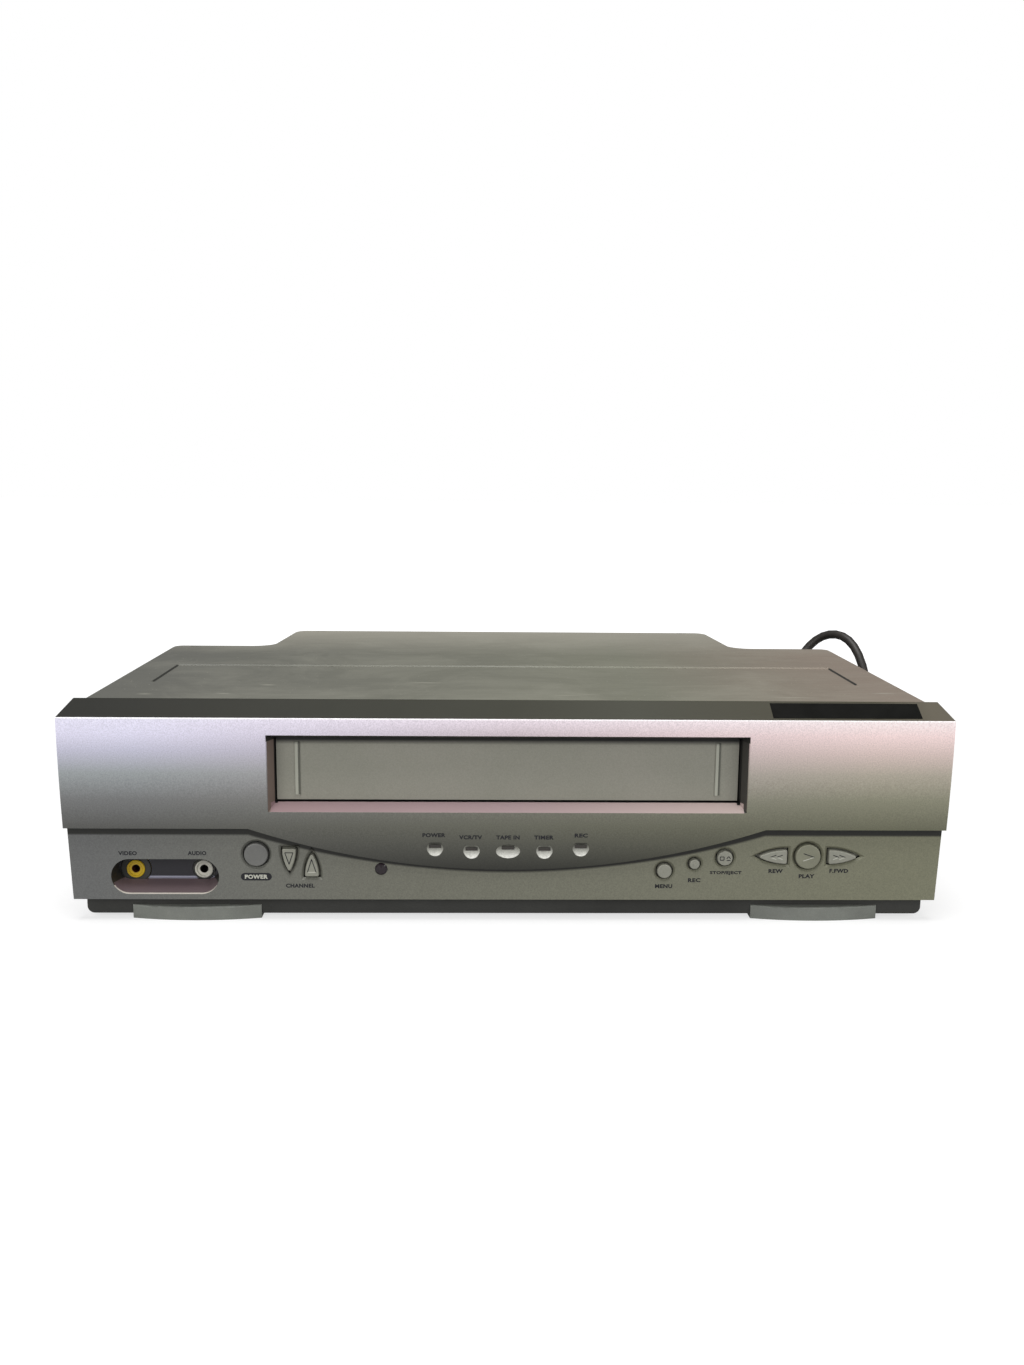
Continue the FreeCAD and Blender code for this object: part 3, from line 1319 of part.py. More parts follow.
def make_holder():
    """A folded sheet box with open ends, carried by a pin on each side in two sliding plates."""
    sheet_thickness = S.holder_sheet
    outer_half = HOLDER_HALF + sheet_thickness
    front = FRONT + S.holder_front
    outer = slab(outer_half * 2, front, S.holder_depth, HOLDER_BOTTOM, HOLDER_HEIGHT)
    inside = slab(HOLDER_HALF * 2, front - 1, S.holder_depth + 2, HOLDER_BOTTOM + sheet_thickness,
                  HOLDER_HEIGHT - sheet_thickness * 2)
    open_floor = slab((HOLDER_HALF - S.holder_ledge) * 2, front - 1, S.holder_depth + 2,
                      HOLDER_BOTTOM - 1, sheet_thickness + 2)
    top_window = slab(S.cassette_width * 0.55, front + 14.0, S.holder_depth - 26.0,
                      HOLDER_BOTTOM + HOLDER_HEIGHT - sheet_thickness - 1, sheet_thickness + 2)
    slider_outer = S.deck_width / 2 - 2.0 - S.fit_gap
    pins = [rod(x, HOLDER_MIDDLE, PIN_Z, S.holder_pin_radius, slider_outer - outer_half + 0.4, RIGHTWARD)
            for x in (-slider_outer + 0.1, outer_half - 0.5)]
    node("cassette_holder", join(cut(outer, inside, open_floor, top_window), *pins))

    half_depth = S.slider_depth / 2
    base = DECK_TOP + 0.2
    plate = box(slider_outer - S.slider_sheet, HOLDER_MIDDLE - half_depth, base, S.slider_sheet,
                S.slider_depth, BRACKET_TOP - 0.2 - base)
    slot_radius = S.holder_pin_radius + 0.1
    slot_low = PIN_Z - S.holder_drop
    slot_height = S.holder_drop
    slot = box(slider_outer - S.slider_sheet - 1, HOLDER_MIDDLE - slot_radius, slot_low,
               S.slider_sheet + 2, slot_radius * 2, slot_height)
    slot_ends = [rod(slider_outer - S.slider_sheet - 1, HOLDER_MIDDLE, z, slot_radius, S.slider_sheet + 2,
                     RIGHTWARD) for z in (slot_low, slot_low + slot_height)]
    slider = cut(plate, slot, *slot_ends)
    node("holder_sliders", group(slider, mirrored(slider)))


def make_reels():
    """Two reel tables on deck posts, the clutch between them, and the swinging idler."""
    rim_top = S.reel_rim
    hub_top = rim_top + S.reel_hub_height
    top = hub_top + S.spindle_height
    table = [(SHAFT_BORE, 0), (S.reel_radius, 0), (S.reel_radius, rim_top), (S.reel_hub_radius, rim_top),
             (S.reel_hub_radius, hub_top), (S.spindle_radius, hub_top),
             (S.spindle_radius, top - 2.0), (S.spindle_radius - 2.5, top), (SHAFT_BORE, top)]
    for label, side in (("supply_reel", -1), ("takeup_reel", 1)):
        x = REEL_X * side
        body = turned(table, x, REEL_Y, REEL_BOTTOM)
        keys = []
        for bearing in (0, 120, 240):
            key = box(0, -0.8, 0, 1.2, 1.6, S.spindle_height - 3.0)
            turn = Rotation(Vector(0, 0, 1), bearing)
            reach = turn.multVec(Vector(S.spindle_radius.value - 0.4, -0.8, 0))
            place(key, x + reach.x, REEL_Y + reach.y, REEL_BOTTOM + hub_top, turn)
            keys.append(key)
        node(label, join(body, *keys))

    clutch_y = FRONT + S.clutch_y
    wheel_bottom = REEL_BOTTOM + 0.2
    wheel_top = wheel_bottom + 4.8
    shaft_bottom = PULLEY_BOTTOM - 0.4
    shaft_top = wheel_top + 3.0
    pulley_top = PULLEY_BOTTOM + S.belt_height + 0.4
    base = shaft_bottom
    clutch = [(0, 0), (S.post_radius, 0), (S.post_radius, PULLEY_BOTTOM - base),
              (S.clutch_pulley_radius, PULLEY_BOTTOM - base), (S.clutch_pulley_radius, pulley_top - base),
              (S.post_radius, pulley_top - base), (S.post_radius, wheel_bottom - base),
              (S.clutch_wheel_radius, wheel_bottom - base), (S.clutch_wheel_radius, wheel_top - base),
              (S.post_radius, wheel_top - base), (S.post_radius, shaft_top - base), (0, shaft_top - base)]
    node("clutch_pulley", turned(clutch, 0, clutch_y, base))

    arm_z = wheel_top + 0.3
    wheel_y = clutch_y - IDLER_ARM_LENGTH
    arm = slab(9.0, wheel_y, IDLER_ARM_LENGTH, arm_z, ARM_SHEET)
    eye = rod(0, clutch_y, arm_z, 4.5, ARM_SHEET + 0.8)
    end = rod(0, wheel_y, arm_z, 4.5, ARM_SHEET)
    pin = rod(0, wheel_y, REEL_BOTTOM + 0.1, 1.5, arm_z - REEL_BOTTOM)
    bore = rod(0, clutch_y, arm_z - 1, SHAFT_BORE, 4.0)
    node("idler_arm", cut(join(arm, eye, end, pin), bore))
    bore_radius = 1.5 + S.shaft_clearance
    wheel = [(bore_radius, 0), (S.idler_radius, 0), (S.idler_radius, S.idler_thickness),
             (4.0, S.idler_thickness), (4.0, arm_z - REEL_BOTTOM - 0.3),
              (bore_radius, arm_z - REEL_BOTTOM - 0.3)]
    node("idler_wheel", turned(wheel, 0, wheel_y, REEL_BOTTOM))


def belt_loop(radius_a, radius_b, thickness):
    """The plan of a belt, a thickness outside two pulleys: straight tangents and two arcs."""
    a = Vector(0, value_of(FRONT + S.clutch_y), 0)
    b = Vector(S.capstan_x.value, value_of(REAR - S.capstan_y), 0)
    along = (b - a).normalize()
    tilt = math.asin((radius_a - radius_b) / a.distanceToPoint(b))
    points = []
    for centre, radius in ((a, radius_a + thickness), (b, radius_b + thickness)):
        for side in (1, -1):
            bearing = math.degrees(math.atan2(along.y, along.x)) + side * (90 - math.degrees(tilt))
            ray = Rotation(Vector(0, 0, 1), bearing).multVec(Vector(radius, 0, 0))
            points.append(centre + ray)
    far_a = a - along * (radius_a + thickness)
    far_b = b + along * (radius_b + thickness)
    edges = [Part.LineSegment(points[0], points[2]), Part.Arc(points[2], far_b, points[3]),
             Part.LineSegment(points[3], points[1]), Part.Arc(points[1], far_a, points[0])]
    return Part.Face(Part.Wire([edge.toShape() for edge in edges]))


def make_belt():
    """A flat drive belt from the capstan pulley to the clutch pulley."""
    radius_a = value_of(S.clutch_pulley_radius + S.belt_gap)
    radius_b = value_of(S.capstan_pulley_radius + S.belt_gap)
    ring = belt_loop(radius_a, radius_b, S.belt_thickness.value).cut(belt_loop(radius_a, radius_b, 0.0))
    loop = ring.extrude(Vector(0, 0, S.belt_height.value))
    loop.translate(Vector(0, 0, value_of(PULLEY_BOTTOM + 0.2)))
    node("drive_belt", made(loop))


def make_drum():
    """The tilted drum: a fixed lower half with a flat base, and a spinning upper half on its shaft."""
    y = REAR - S.drum_y
    tilt = Rotation(Vector(0, 1, 0), S.drum_tilt.value)
    sunk = 6.0
    lower = rod(S.drum_x - sunk * sine(S.drum_tilt), y, DECK_TOP - sunk * cosine(S.drum_tilt),
                S.drum_radius, S.lower_drum_height + sunk, tilt)
    shaft = rod(S.drum_x, y, DECK_TOP, S.drum_shaft_radius,
                S.lower_drum_height + S.drum_gap + S.upper_drum_height - 1.0, tilt)
    under = slab(ACROSS, y - S.drum_radius * 2, S.drum_radius * 4, -1, DECK_TOP + 1)
    node("lower_drum", cut(join(lower, shaft), under))
    start = S.lower_drum_height + S.drum_gap
    bore = S.drum_shaft_radius + S.shaft_clearance
    height = S.upper_drum_height
    rotor = [(bore, 0), (S.drum_radius, 0), (S.drum_radius, height - 1.0), (S.drum_radius - 1.0, height),
             (22.0, height), (22.0, height - 1.6), (9.0, height - 1.6), (9.0, height + 1.2),
              (bore, height + 1.2)]
    upper = turned(rotor, S.drum_x + start * sine(S.drum_tilt), y,
                   DECK_TOP + start * cosine(S.drum_tilt), tilt)
    node("upper_drum", upper)


def make_capstan():
    """The capstan with its pulley and flywheel, hung under the deck over the motor's stator board."""
    x, y = S.capstan_x, REAR - S.capstan_y
    base = BOARD_TOP + 0.5
    board_top = base + 1.0
    bottom = board_top - 0.8
    pulley_top = PULLEY_BOTTOM + S.belt_height + 0.4
    wheel_top = pulley_top + S.flywheel_height
    levels = [(0, 0), (S.capstan_radius, 0), (S.capstan_radius, PULLEY_BOTTOM - bottom),
              (S.capstan_pulley_radius, PULLEY_BOTTOM - bottom),
              (S.capstan_pulley_radius, pulley_top - bottom),
              (S.flywheel_radius, pulley_top - bottom), (S.flywheel_radius, wheel_top - bottom),
              (S.capstan_radius, wheel_top - bottom), (S.capstan_radius, S.capstan_top - bottom),
              (0, S.capstan_top - bottom)]
    node("capstan", turned(levels, x, y, bottom))
    reach = S.flywheel_radius + 3.0
    board = rod(x, y, base, reach + 2.5, board_top - base)
    spacers = []
    for bearing in (96, 20, -60):
        turn = Rotation(Vector(0, 0, 1), bearing)
        offset = turn.multVec(Vector(reach.value, 0, 0))
        spacers.append(rod(x + offset.x, y + offset.y, base, 1.8, S.deck_underside - base))
    shaft_hole = rod(x, y, base - 1, S.capstan_radius + S.shaft_clearance, 4.0)
    node("capstan_motor", cut(join(board, *spacers), shaft_hole))


def make_pinch_roller():
    """A roller on a swinging arm that presses the tape against the capstan."""
    pivot = (S.pinch_pivot_x, REAR - S.pinch_pivot_y)
    arm_z = DECK_TOP + 0.6
    end = on_circle(*pivot, S.pinch_arm_length, S.pinch_rest_angle)
    bar = box(0, -4.0, 0, S.pinch_arm_length, 8.0, ARM_SHEET + 0.6)
    turn = Rotation(Vector(0, 0, 1), S.pinch_rest_angle.value)
    offset = turn.multVec(Vector(0, -4.0, 0))
    place(bar, pivot[0] + offset.x, pivot[1] + offset.y, arm_z, turn)
    hub = rod(*pivot, arm_z, 4.5, 4.0)
    tip = rod(*end, arm_z, 4.0, ARM_SHEET + 0.6)
    roller_bottom = DECK_TOP + 6.5
    post = rod(*end, arm_z, 1.5, roller_bottom - arm_z + S.pinch_height + 0.6)
    collar = rod(*end, arm_z, 3.0, roller_bottom - arm_z - 0.3)
    bore = rod(*pivot, arm_z - 1, SHAFT_BORE, 7.0)
    node("pinch_arm", cut(join(bar, hub, tip, post, collar), bore))
    hole = 1.5 + S.shaft_clearance
    height = S.pinch_height
    roller = [(hole, 0), (S.pinch_radius, 0), (S.pinch_radius, height), (hole, height)]
    node("pinch_roller", turned(roller, *end, roller_bottom))


def make_loading_arm(label, pivot_x, pivot_y, angle, arm_z):
    """An arm under the deck whose guide post comes up through a curved slot."""
    y = REAR - pivot_y
    end = on_circle(pivot_x, y, S.loading_arm_length, angle)
    turn = Rotation(Vector(0, 0, 1), angle.value)
    offset = turn.multVec(Vector(0, -3.5, 0))
    bar = box(pivot_x + offset.x, y + offset.y, arm_z, S.loading_arm_length, 7.0, ARM_SHEET)
    bar.Placement.Rotation = turn
    hub = rod(pivot_x, y, arm_z, 4.0, ARM_SHEET)
    tip = rod(*end, arm_z, 3.5, ARM_SHEET)
    neck = rod(*end, arm_z, S.guide_neck_radius, DECK_TOP + 1 - arm_z)
    base_z = DECK_TOP + 0.2
    foot = rod(*end, base_z, S.guide_base_radius, 3.0)
    post = rod(*end, base_z, 1.6, S.guide_top - base_z)
    roller = rod(*end, base_z + 6.0, S.guide_roller_radius, 14.0)
    cap = rod(*end, S.guide_top - 1.6, S.guide_roller_radius, 1.6)
    bore = rod(pivot_x, y, arm_z - 1, SHAFT_BORE, ARM_SHEET + 2)
    node(label, cut(join(bar, hub, tip, neck, foot, post, roller, cap), bore))


def gear_plan(teeth, first_tooth):
    """The plan of a spur gear: involute-like teeth of straight flanks, as one closed wire."""
    module = S.gear_module.value
    pitch = module * teeth / 2
    root = pitch - 1.25 * module
    tip = pitch + module
    step = 360 / teeth
    half = (step / 4) - math.degrees(S.gear_backlash.value / 4 / pitch)
    points = []
    for tooth in range(teeth):
        middle = first_tooth + tooth * step
        for radius, offset in ((root, -1.45), (pitch, -1.0), (tip, -0.5),
                               (tip, 0.5), (pitch, 1.0), (root, 1.45)):
            bearing = math.radians(middle + half * offset)
            points.append(Vector(radius * math.cos(bearing), radius * math.sin(bearing), 0))
    return Part.Face(Part.makePolygon(points + [points[0]]))


def make_loading_drive():
    """The loading motor, its pinion and the big cam gear that they turn."""
    bearing = S.pinion_bearing
    distance = S.gear_module * (CAM_TEETH + PINION_TEETH) / 2 + S.gear_slack
    cam_x, cam_y = S.cam_x, REAR - S.cam_y
    pinion_x, pinion_y = on_circle(cam_x, cam_y, distance, bearing)
    bottom = DECK_TOP + 0.7
    cam = made(gear_plan(CAM_TEETH, bearing.value).extrude(Vector(0, 0, S.gear_thickness.value)))
    place(cam, cam_x, cam_y, bottom)
    bore = rod(cam_x, cam_y, bottom - 1, SHAFT_BORE, S.gear_thickness + 2)
    windows = []
    for angle in (30, 150, 270):
        offset = Rotation(Vector(0, 0, 1), angle).multVec(Vector(10.5, 0, 0))
        windows.append(rod(cam_x + offset.x, cam_y + offset.y, bottom - 1, 4.0, S.gear_thickness + 2))
    node("cam_gear", cut(cam, bore, *windows))
    pinion_step = 360 / PINION_TEETH
    pinion = made(gear_plan(PINION_TEETH, bearing.value + 180 + pinion_step / 2)
                  .extrude(Vector(0, 0, S.gear_thickness.value)))
    place(pinion, pinion_x, pinion_y, bottom)
    bracket_z = bottom + S.gear_thickness + 0.6
    spindle = rod(pinion_x, pinion_y, bottom, 1.2, bracket_z - bottom + ARM_SHEET)
    node("loading_pinion", join(pinion, spindle))
    side = S.motor_radius + 1.0
    plate = box(pinion_x - side, pinion_y - side, bracket_z, side * 2, side * 2, ARM_SHEET)
    legs = [box(pinion_x + side - 2.0, pinion_y + at, DECK_TOP, 2.0, 5.0, bracket_z - DECK_TOP + 0.5)
            for at in (-side, side - 5.0)]
    can = rod(pinion_x, pinion_y, bracket_z + ARM_SHEET - 0.3, S.motor_radius, S.motor_height)
    end_cap = rod(pinion_x, pinion_y, bracket_z + S.motor_height, 4.0, 2.6)
    opening = rod(pinion_x, pinion_y, bracket_z - 1, 1.2 + S.shaft_clearance, ARM_SHEET + 2.4)
    node("loading_motor", cut(join(plate, can, end_cap, *legs), opening))


def make_tape_path():
    """The heads, fixed guide posts and tension arm that stand along the tape."""
    for label, x, y, height in (("erase_head", S.erase_head_x, REAR - S.erase_head_y, 11.0),
                                ("audio_control_head", S.control_head_x, REAR - S.control_head_y, 13.0)):
        base = slab_at(x, 9.0, y - 1.0, 8.0, DECK_TOP, 2.0)
        stalk = slab_at(x, 5.0, y + 2.0, 3.0, DECK_TOP, 20.0)
        face = rod(x, y + 1.5, DECK_TOP + 8.0, 3.6, height)
        back = slab_at(x, 7.2, y + 1.5, 4.0, DECK_TOP + 8.0, height)
        node(label, join(base, stalk, face, back))
    profile = [(0, 0), (3.0, 0), (3.0, 2.0), (1.5, 2.0), (1.5, 7.0), (2.6, 7.0), (2.6, 7.8), (1.5, 7.8),
               (1.5, 20.6), (2.6, 20.6), (2.6, 21.4), (0, 22.0)]
    posts = [turned(profile, x, REAR - y, DECK_TOP)
             for x, y in ((S.supply_post_x, S.supply_post_y), (S.takeup_post_x, S.takeup_post_y))]
    node("guide_posts", group(*posts))
    pivot = (S.tension_pivot_x, REAR - S.tension_pivot_y)
    arm_z = DECK_TOP + 0.5
    turn = Rotation(Vector(0, 0, 1), S.tension_rest_angle.value)
    offset = turn.multVec(Vector(0, -2.5, 0))
    bar = box(pivot[0] + offset.x, pivot[1] + offset.y, arm_z, S.tension_arm_length, 5.0, ARM_SHEET)
    bar.Placement.Rotation = turn
    end = on_circle(*pivot, S.tension_arm_length, S.tension_rest_angle)
    hub = rod(*pivot, arm_z, 4.0, 2.0)
    tip = rod(*end, arm_z, 2.5, ARM_SHEET)
    post = rod(*end, arm_z, 1.5, S.tension_post_height + 1)
    cap = rod(*end, arm_z + S.tension_post_height, 2.4, 1.2)
    bore = rod(*pivot, arm_z - 1, SHAFT_BORE, 4.5)
    node("tension_arm", cut(join(bar, hub, tip, post, cap), bore))


# The lead between its strain relief and the coil; Y from the front plane
LEAD_CORNERS = ((160.0, 187.0, 60.0), (160.0, 214.0, 60.0), (181.0, 221.0, 94.0), (198.0, 196.0, 94.0),
                (203.0, 175.5, 50.0), (203.0, 175.5, 8.2), (203.0, 208.2, 8.2))
# The lead between the coil and the plug
TAIL_CORNERS = ((161.2, 250.0, 2.8), (146.0, 250.0, 2.8), (129.0, 251.0, 7.6), (113.0, 253.5, 7.6))


def rounded_path(corners):
    """Straight runs joined by tangent arcs, as edges, with the smallest radius."""
    points = [Vector(x, value_of(FRONT) + y, z) for x, y, z in corners]
    edges = []
    start = points[0]
    smallest = 1e9
    for before, corner, after in zip(points, points[1:], points[2:]):
        arriving = (corner - before).normalize()
        leaving = (after - corner).normalize()
        half_turn = arriving.getAngle(leaving) / 2
        setback = 0.45 * min(corner.distanceToPoint(before), corner.distanceToPoint(after))
        radius = setback / math.tan(half_turn)
        smallest = min(smallest, radius)
        first = corner - arriving * setback
        last = corner + leaving * setback
        inward = (leaving - arriving).normalize()
        middle = corner + inward * (radius / math.cos(half_turn) - radius)
        edges.append(Part.LineSegment(start, first))
        edges.append(Part.Arc(first, middle, last))
        start = last
    edges.append(Part.LineSegment(start, points[-1]))
    return edges, smallest


def coil_path():
    """Half turns that spiral in through the upper layer and out again through the lower one."""
    centre_x = S.coil_x.value
    centre_y = value_of(FRONT + S.coil_y)
    pitch = S.coil_pitch.value
    outer = S.coil_outer_radius.value
    low = S.coil_low_z.value
    high = low + S.coil_layer_rise.value
    turns = COIL_TURNS_PER_LAYER * 2
    shrinking = [(outer - pitch / 2 * number, high, high) for number in range(turns)]
    growing = [(radius, low, low) for radius, _, _ in reversed(shrinking)]
    plan = shrinking + [(outer - pitch / 2 * turns, high, low)] + growing
    x = centre_x + outer
    straight = S.cord_width.value
    edges = [Part.LineSegment(Vector(x, centre_y - straight, high), Vector(x, centre_y, high))]
    side = 1
    for radius, start_z, end_z in plan[:-1]:
        end_x = x - side * radius * 2
        middle = Vector(x - side * radius, centre_y + side * radius, (start_z + end_z) / 2)
        edges.append(Part.Arc(Vector(x, centre_y, start_z), middle, Vector(end_x, centre_y, end_z)))
        x = end_x
        side = -side
    rear = Vector(x - outer, centre_y + outer, low)
    eighth = outer * math.sqrt(0.5)
    edges.append(Part.Arc(Vector(x, centre_y, low), Vector(x - outer + eighth, centre_y + eighth, low), rear))
    edges.append(Part.LineSegment(rear, rear - Vector(straight, 0, 0)))
    return edges


def swept(edges):
    """A round lead along a path."""
    wire = Part.Wire([edge.toShape() for edge in edges])
    start = edges[0].StartPoint
    heading = (edges[0].EndPoint - start).normalize()
    section = Part.Wire([Part.Circle(start, heading, S.cord_width.value / 2).toShape()])
    solid = wire.makePipeShell([section], True, False)
    area = math.pi * S.cord_width.value ** 2 / 4
    share = solid.Volume / area / wire.Length
    print(f"lead: length {wire.Length:.0f} mm, volume over section times length {share:.4f}")
    return solid, wire


def closest_gap(wire):
    """The smallest distance between parts of the lead that aren't neighbours along it."""
    points = wire.discretize(Distance=2.0)
    apart = int(math.pi * S.coil_outer_radius.value / 2.0 / 2)
    closest = 1e9
    for first in range(len(points)):
        for second in range(first + apart, len(points)):
            closest = min(closest, points[first].distanceToPoint(points[second]))
    return closest - S.cord_width.value


def make_cord():
    """Strain relief, lead, coil and two-blade plug."""
    wall_rear = SIDE_REAR - WALL_INSET
    inside = wall_rear - S.chassis_wall
    head = 1.5
    length = SIDE_REAR + S.relief_length - inside + head
    neck = head + S.chassis_wall
    taper_end = S.cord_width / 2 + 0.8
    profile = [(0, 0), (S.relief_radius + 1.6, 0), (S.relief_radius + 1.6, head), (S.relief_radius, head),
               (S.relief_radius, neck), (S.relief_radius + 1.6, neck), (S.relief_radius + 1.6, neck + head),
               (S.relief_radius - 0.6, neck + head)]
    run = length - neck - head
    rings = 5
    for ring in range(rings):
        at = neck + head + run * (ring + 0.55) / (rings + 0.5)
        radius = S.relief_radius - 0.6 - (S.relief_radius - 0.6 - taper_end) * (ring + 0.55) / (rings + 0.5)
        profile += [(radius, at), (radius - 0.7, at), (radius - 0.7, at + 1.4), (radius, at + 1.4)]
    profile += [(taper_end, length), (0, length)]
    node("strain_relief", turned(profile, S.cord_exit_x, inside - head, S.cord_exit_z, BACKWARD))

    lead_edges, lead_radius = rounded_path(LEAD_CORNERS)
    tail_edges, tail_radius = rounded_path(TAIL_CORNERS)
    print(f"smallest radii in diameters: lead {lead_radius / S.cord_width.value:.2f}, "
          f"tail {tail_radius / S.cord_width.value:.2f}")
    lead = swept(lead_edges)[0]
    tail = swept(tail_edges)[0]
    node("mains_cord", group(made(lead), made(tail)))
    coil, wire = swept(coil_path())
    print(f"closest gap in the coil {closest_gap(wire):.2f} mm")
    node("cord_coil", made(coil))

    before, last = (Vector(x, value_of(FRONT) + y, z) for x, y, z in TAIL_CORNERS[-2:])
    along = (last - before).normalize()
    turn = Rotation(Vector(1, 0, 0), along)
    taper = S.plug_length * 0.45
    neck_half = S.cord_width * 0.8
    half = S.plug_width / 2
    plan = [(0, -neck_half), (taper, -half), (S.plug_length, -half), (S.plug_length, half),
            (taper, half), (0, neck_half)]
    body = pad("XY_Plane", plan, S.plug_height)
    place(body, last.x, last.y, last.z - S.plug_height.value / 2, turn)

    def is_long_edge(points):
        level = abs(points[0].z - points[1].z) < 0.01
        return level and not (is_at_end(points, last, along))

    grip = softened(body, is_long_edge, 2.4)
    node("mains_plug", grip)
    blades = []
    for side in (-1, 1):
        blade = box(0, 0, 0, S.blade_length, S.blade_thickness, S.blade_width)
        local = Vector(S.plug_length.value, S.blade_spacing.value / 2 * side - S.blade_thickness.value / 2,
                       -S.blade_width.value / 2)
        corner = last + turn.multVec(local)
        place(blade, corner.x, corner.y, corner.z, turn)
        blades.append(blade)
    node("plug_blades", group(*blades))


def is_at_end(points, start, along):
    """Whether an edge lies in the plug's front or rear face."""
    reaches = [(point - start).dot(along) for point in points]
    return max(reaches) < 0.01 or min(reaches) > S.plug_length.value - 0.01


STEPS = (make_top_cover, make_cover_screws, make_front_panel, make_cassette_door, make_buttons,
         make_indicators, make_front_boards, make_chassis, make_feet, make_label, make_main_board,
         make_deck_frame, make_holder, make_reels, make_belt, make_drum, make_capstan,
         make_pinch_roller, make_loading_drive, make_tape_path, make_cord)
for step in STEPS:
    step()
make_loading_arm("supply_guide", S.supply_pivot_x, S.supply_pivot_y, S.supply_rest_angle, SUPPLY_ARM_Z)
make_loading_arm("takeup_guide", S.takeup_pivot_x, S.takeup_pivot_y, S.takeup_rest_angle, TAKEUP_ARM_Z)
doc.recompute()

for thing in doc.Objects:
    if "Invalid" in thing.State or "Error" in thing.State:
        raise RuntimeError(f"{thing.Label} does not recompute: {thing.State}")
os.makedirs("parts", exist_ok=True)
for label, thing in NODES.items():
    shape = thing.Shape
    if shape.isNull() or not shape.isValid() or not shape.Solids:
        raise RuntimeError(f"{label} is not a valid solid")
    shape.exportStep(f"parts/{label}.step")
print(len(NODES), "nodes")
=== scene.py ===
"""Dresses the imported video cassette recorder: finishes, lettering, sockets, mains lead, camera and studio."""
import json
import logging
import math
from dataclasses import dataclass
from enum import Enum

import bpy
import numpy as np
from mathutils import Matrix, Vector


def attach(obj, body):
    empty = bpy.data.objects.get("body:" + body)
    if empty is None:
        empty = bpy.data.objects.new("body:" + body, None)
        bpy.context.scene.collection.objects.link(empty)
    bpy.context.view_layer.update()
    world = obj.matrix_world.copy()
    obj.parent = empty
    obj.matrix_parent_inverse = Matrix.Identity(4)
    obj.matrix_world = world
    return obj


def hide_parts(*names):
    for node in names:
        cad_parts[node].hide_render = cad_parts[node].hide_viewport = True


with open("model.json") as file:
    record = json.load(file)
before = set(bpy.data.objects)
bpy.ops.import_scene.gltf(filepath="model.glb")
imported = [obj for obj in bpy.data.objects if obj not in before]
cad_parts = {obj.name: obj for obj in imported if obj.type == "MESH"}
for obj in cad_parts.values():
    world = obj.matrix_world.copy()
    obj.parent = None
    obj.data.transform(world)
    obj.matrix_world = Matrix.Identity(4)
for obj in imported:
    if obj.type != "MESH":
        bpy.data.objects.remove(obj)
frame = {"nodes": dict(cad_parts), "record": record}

LOG = logging.getLogger("recorder")
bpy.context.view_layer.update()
CASE = "case"

# A millimetre in metres, and the place of the panel's front plane along Y in millimetres
MM = 0.001
FRONT = -113.5

# The panel's upper face falls back from its crest as a circle of this radius does, in millimetres
CREST_HEIGHT = 72.0
CROWN_RADIUS = 440.0

# Short names for types: a place is x, y and z, and a pair is a range or a point on a flat face
Tree = bpy.types.NodeTree
Socket = bpy.types.NodeSocket
Place = tuple[float, float, float]
Pair = tuple[float, float]


# Shared helpers


def spot(x: float, y: float, z: float) -> Place:
    """A point in metres.

    Args:
        x: Millimetres to the viewer's right of the middle.
        y: Millimetres behind the front plane.
        z: Millimetres above the surface that the feet stand on.

    Returns:
        The point in the part's frame.
    """
    return (x * MM, (FRONT + y) * MM, z * MM)


def linear(code: str) -> tuple[float, float, float, float]:
    """Turns an sRGB hex colour to linear: a straight line near black, and a power of 2.4 above it.

    Args:
        code: A hash and six hex digits.

    Returns:
        Linear red, green and blue, and a full alpha.
    """
    values = [int(code[i:i + 2], 16) / 255 for i in (1, 3, 5)]
    red, green, blue = [v / 12.92 if v <= 0.04045 else ((v + 0.055) / 1.055) ** 2.4 for v in values]
    return (red, green, blue, 1.0)


def add_node(tree: Tree, kind: str, inputs: dict | None = None, **settings) -> bpy.types.NodeOutputs:
    """Adds one shader node with its settings and links.

    Map Range has its value at 0, the range that it lies in at 1 and 2, and the range that it becomes at 3
    and 4, from none to one where they are left out. Mix has its share at 0 and two colours at 6 and 7.

    Args:
        tree: The tree that it goes in.
        kind: The node's type, without the word ShaderNode.
        inputs: Socket name or number, and another node's output, a hex colour or a plain value.
        settings: The node's own properties.

    Returns:
        The node's outputs.
    """
    node = tree.nodes.new("ShaderNode" + kind)
    for name, value in settings.items():
        setattr(node, name, value)
    for name, value in (inputs or {}).items():
        if isinstance(value, Socket):
            tree.links.new(value, node.inputs[name])
        else:
            node.inputs[name].default_value = linear(value) if isinstance(value, str) else value
    return node.outputs


def bare_tree(owner: bpy.types.Material | bpy.types.World) -> Tree:
    """Switches on the nodes of a material or a world, and empties its tree.

    Args:
        owner: The material or world.

    Returns:
        Its tree.
    """
    owner.use_nodes = True
    owner.node_tree.nodes.clear()
    return owner.node_tree


def ramp(tree: Tree, length: Socket, stops: tuple) -> Socket:
    """A colour that runs through named stops as a length grows.

    Args:
        tree: The material's tree.
        length: The length, in metres.
        stops: Pairs of a length in millimetres and a colour, in rising order.

    Returns:
        The colour's socket.
    """
    low, high = stops[0][0], stops[-1][0]
    share = add_node(tree, "MapRange", {0: length, 1: low * MM, 2: high * MM})[0]
    colour = add_node(tree, "ValToRGB", {0: share})[0]
    elements = colour.node.color_ramp.elements
    elements.remove(elements[1])
    elements[0].position = 0.0
    elements[0].color = linear(stops[0][1])
    for place, code in stops[1:]:
        elements.new((place - low) / (high - low)).color = linear(code)
    return colour


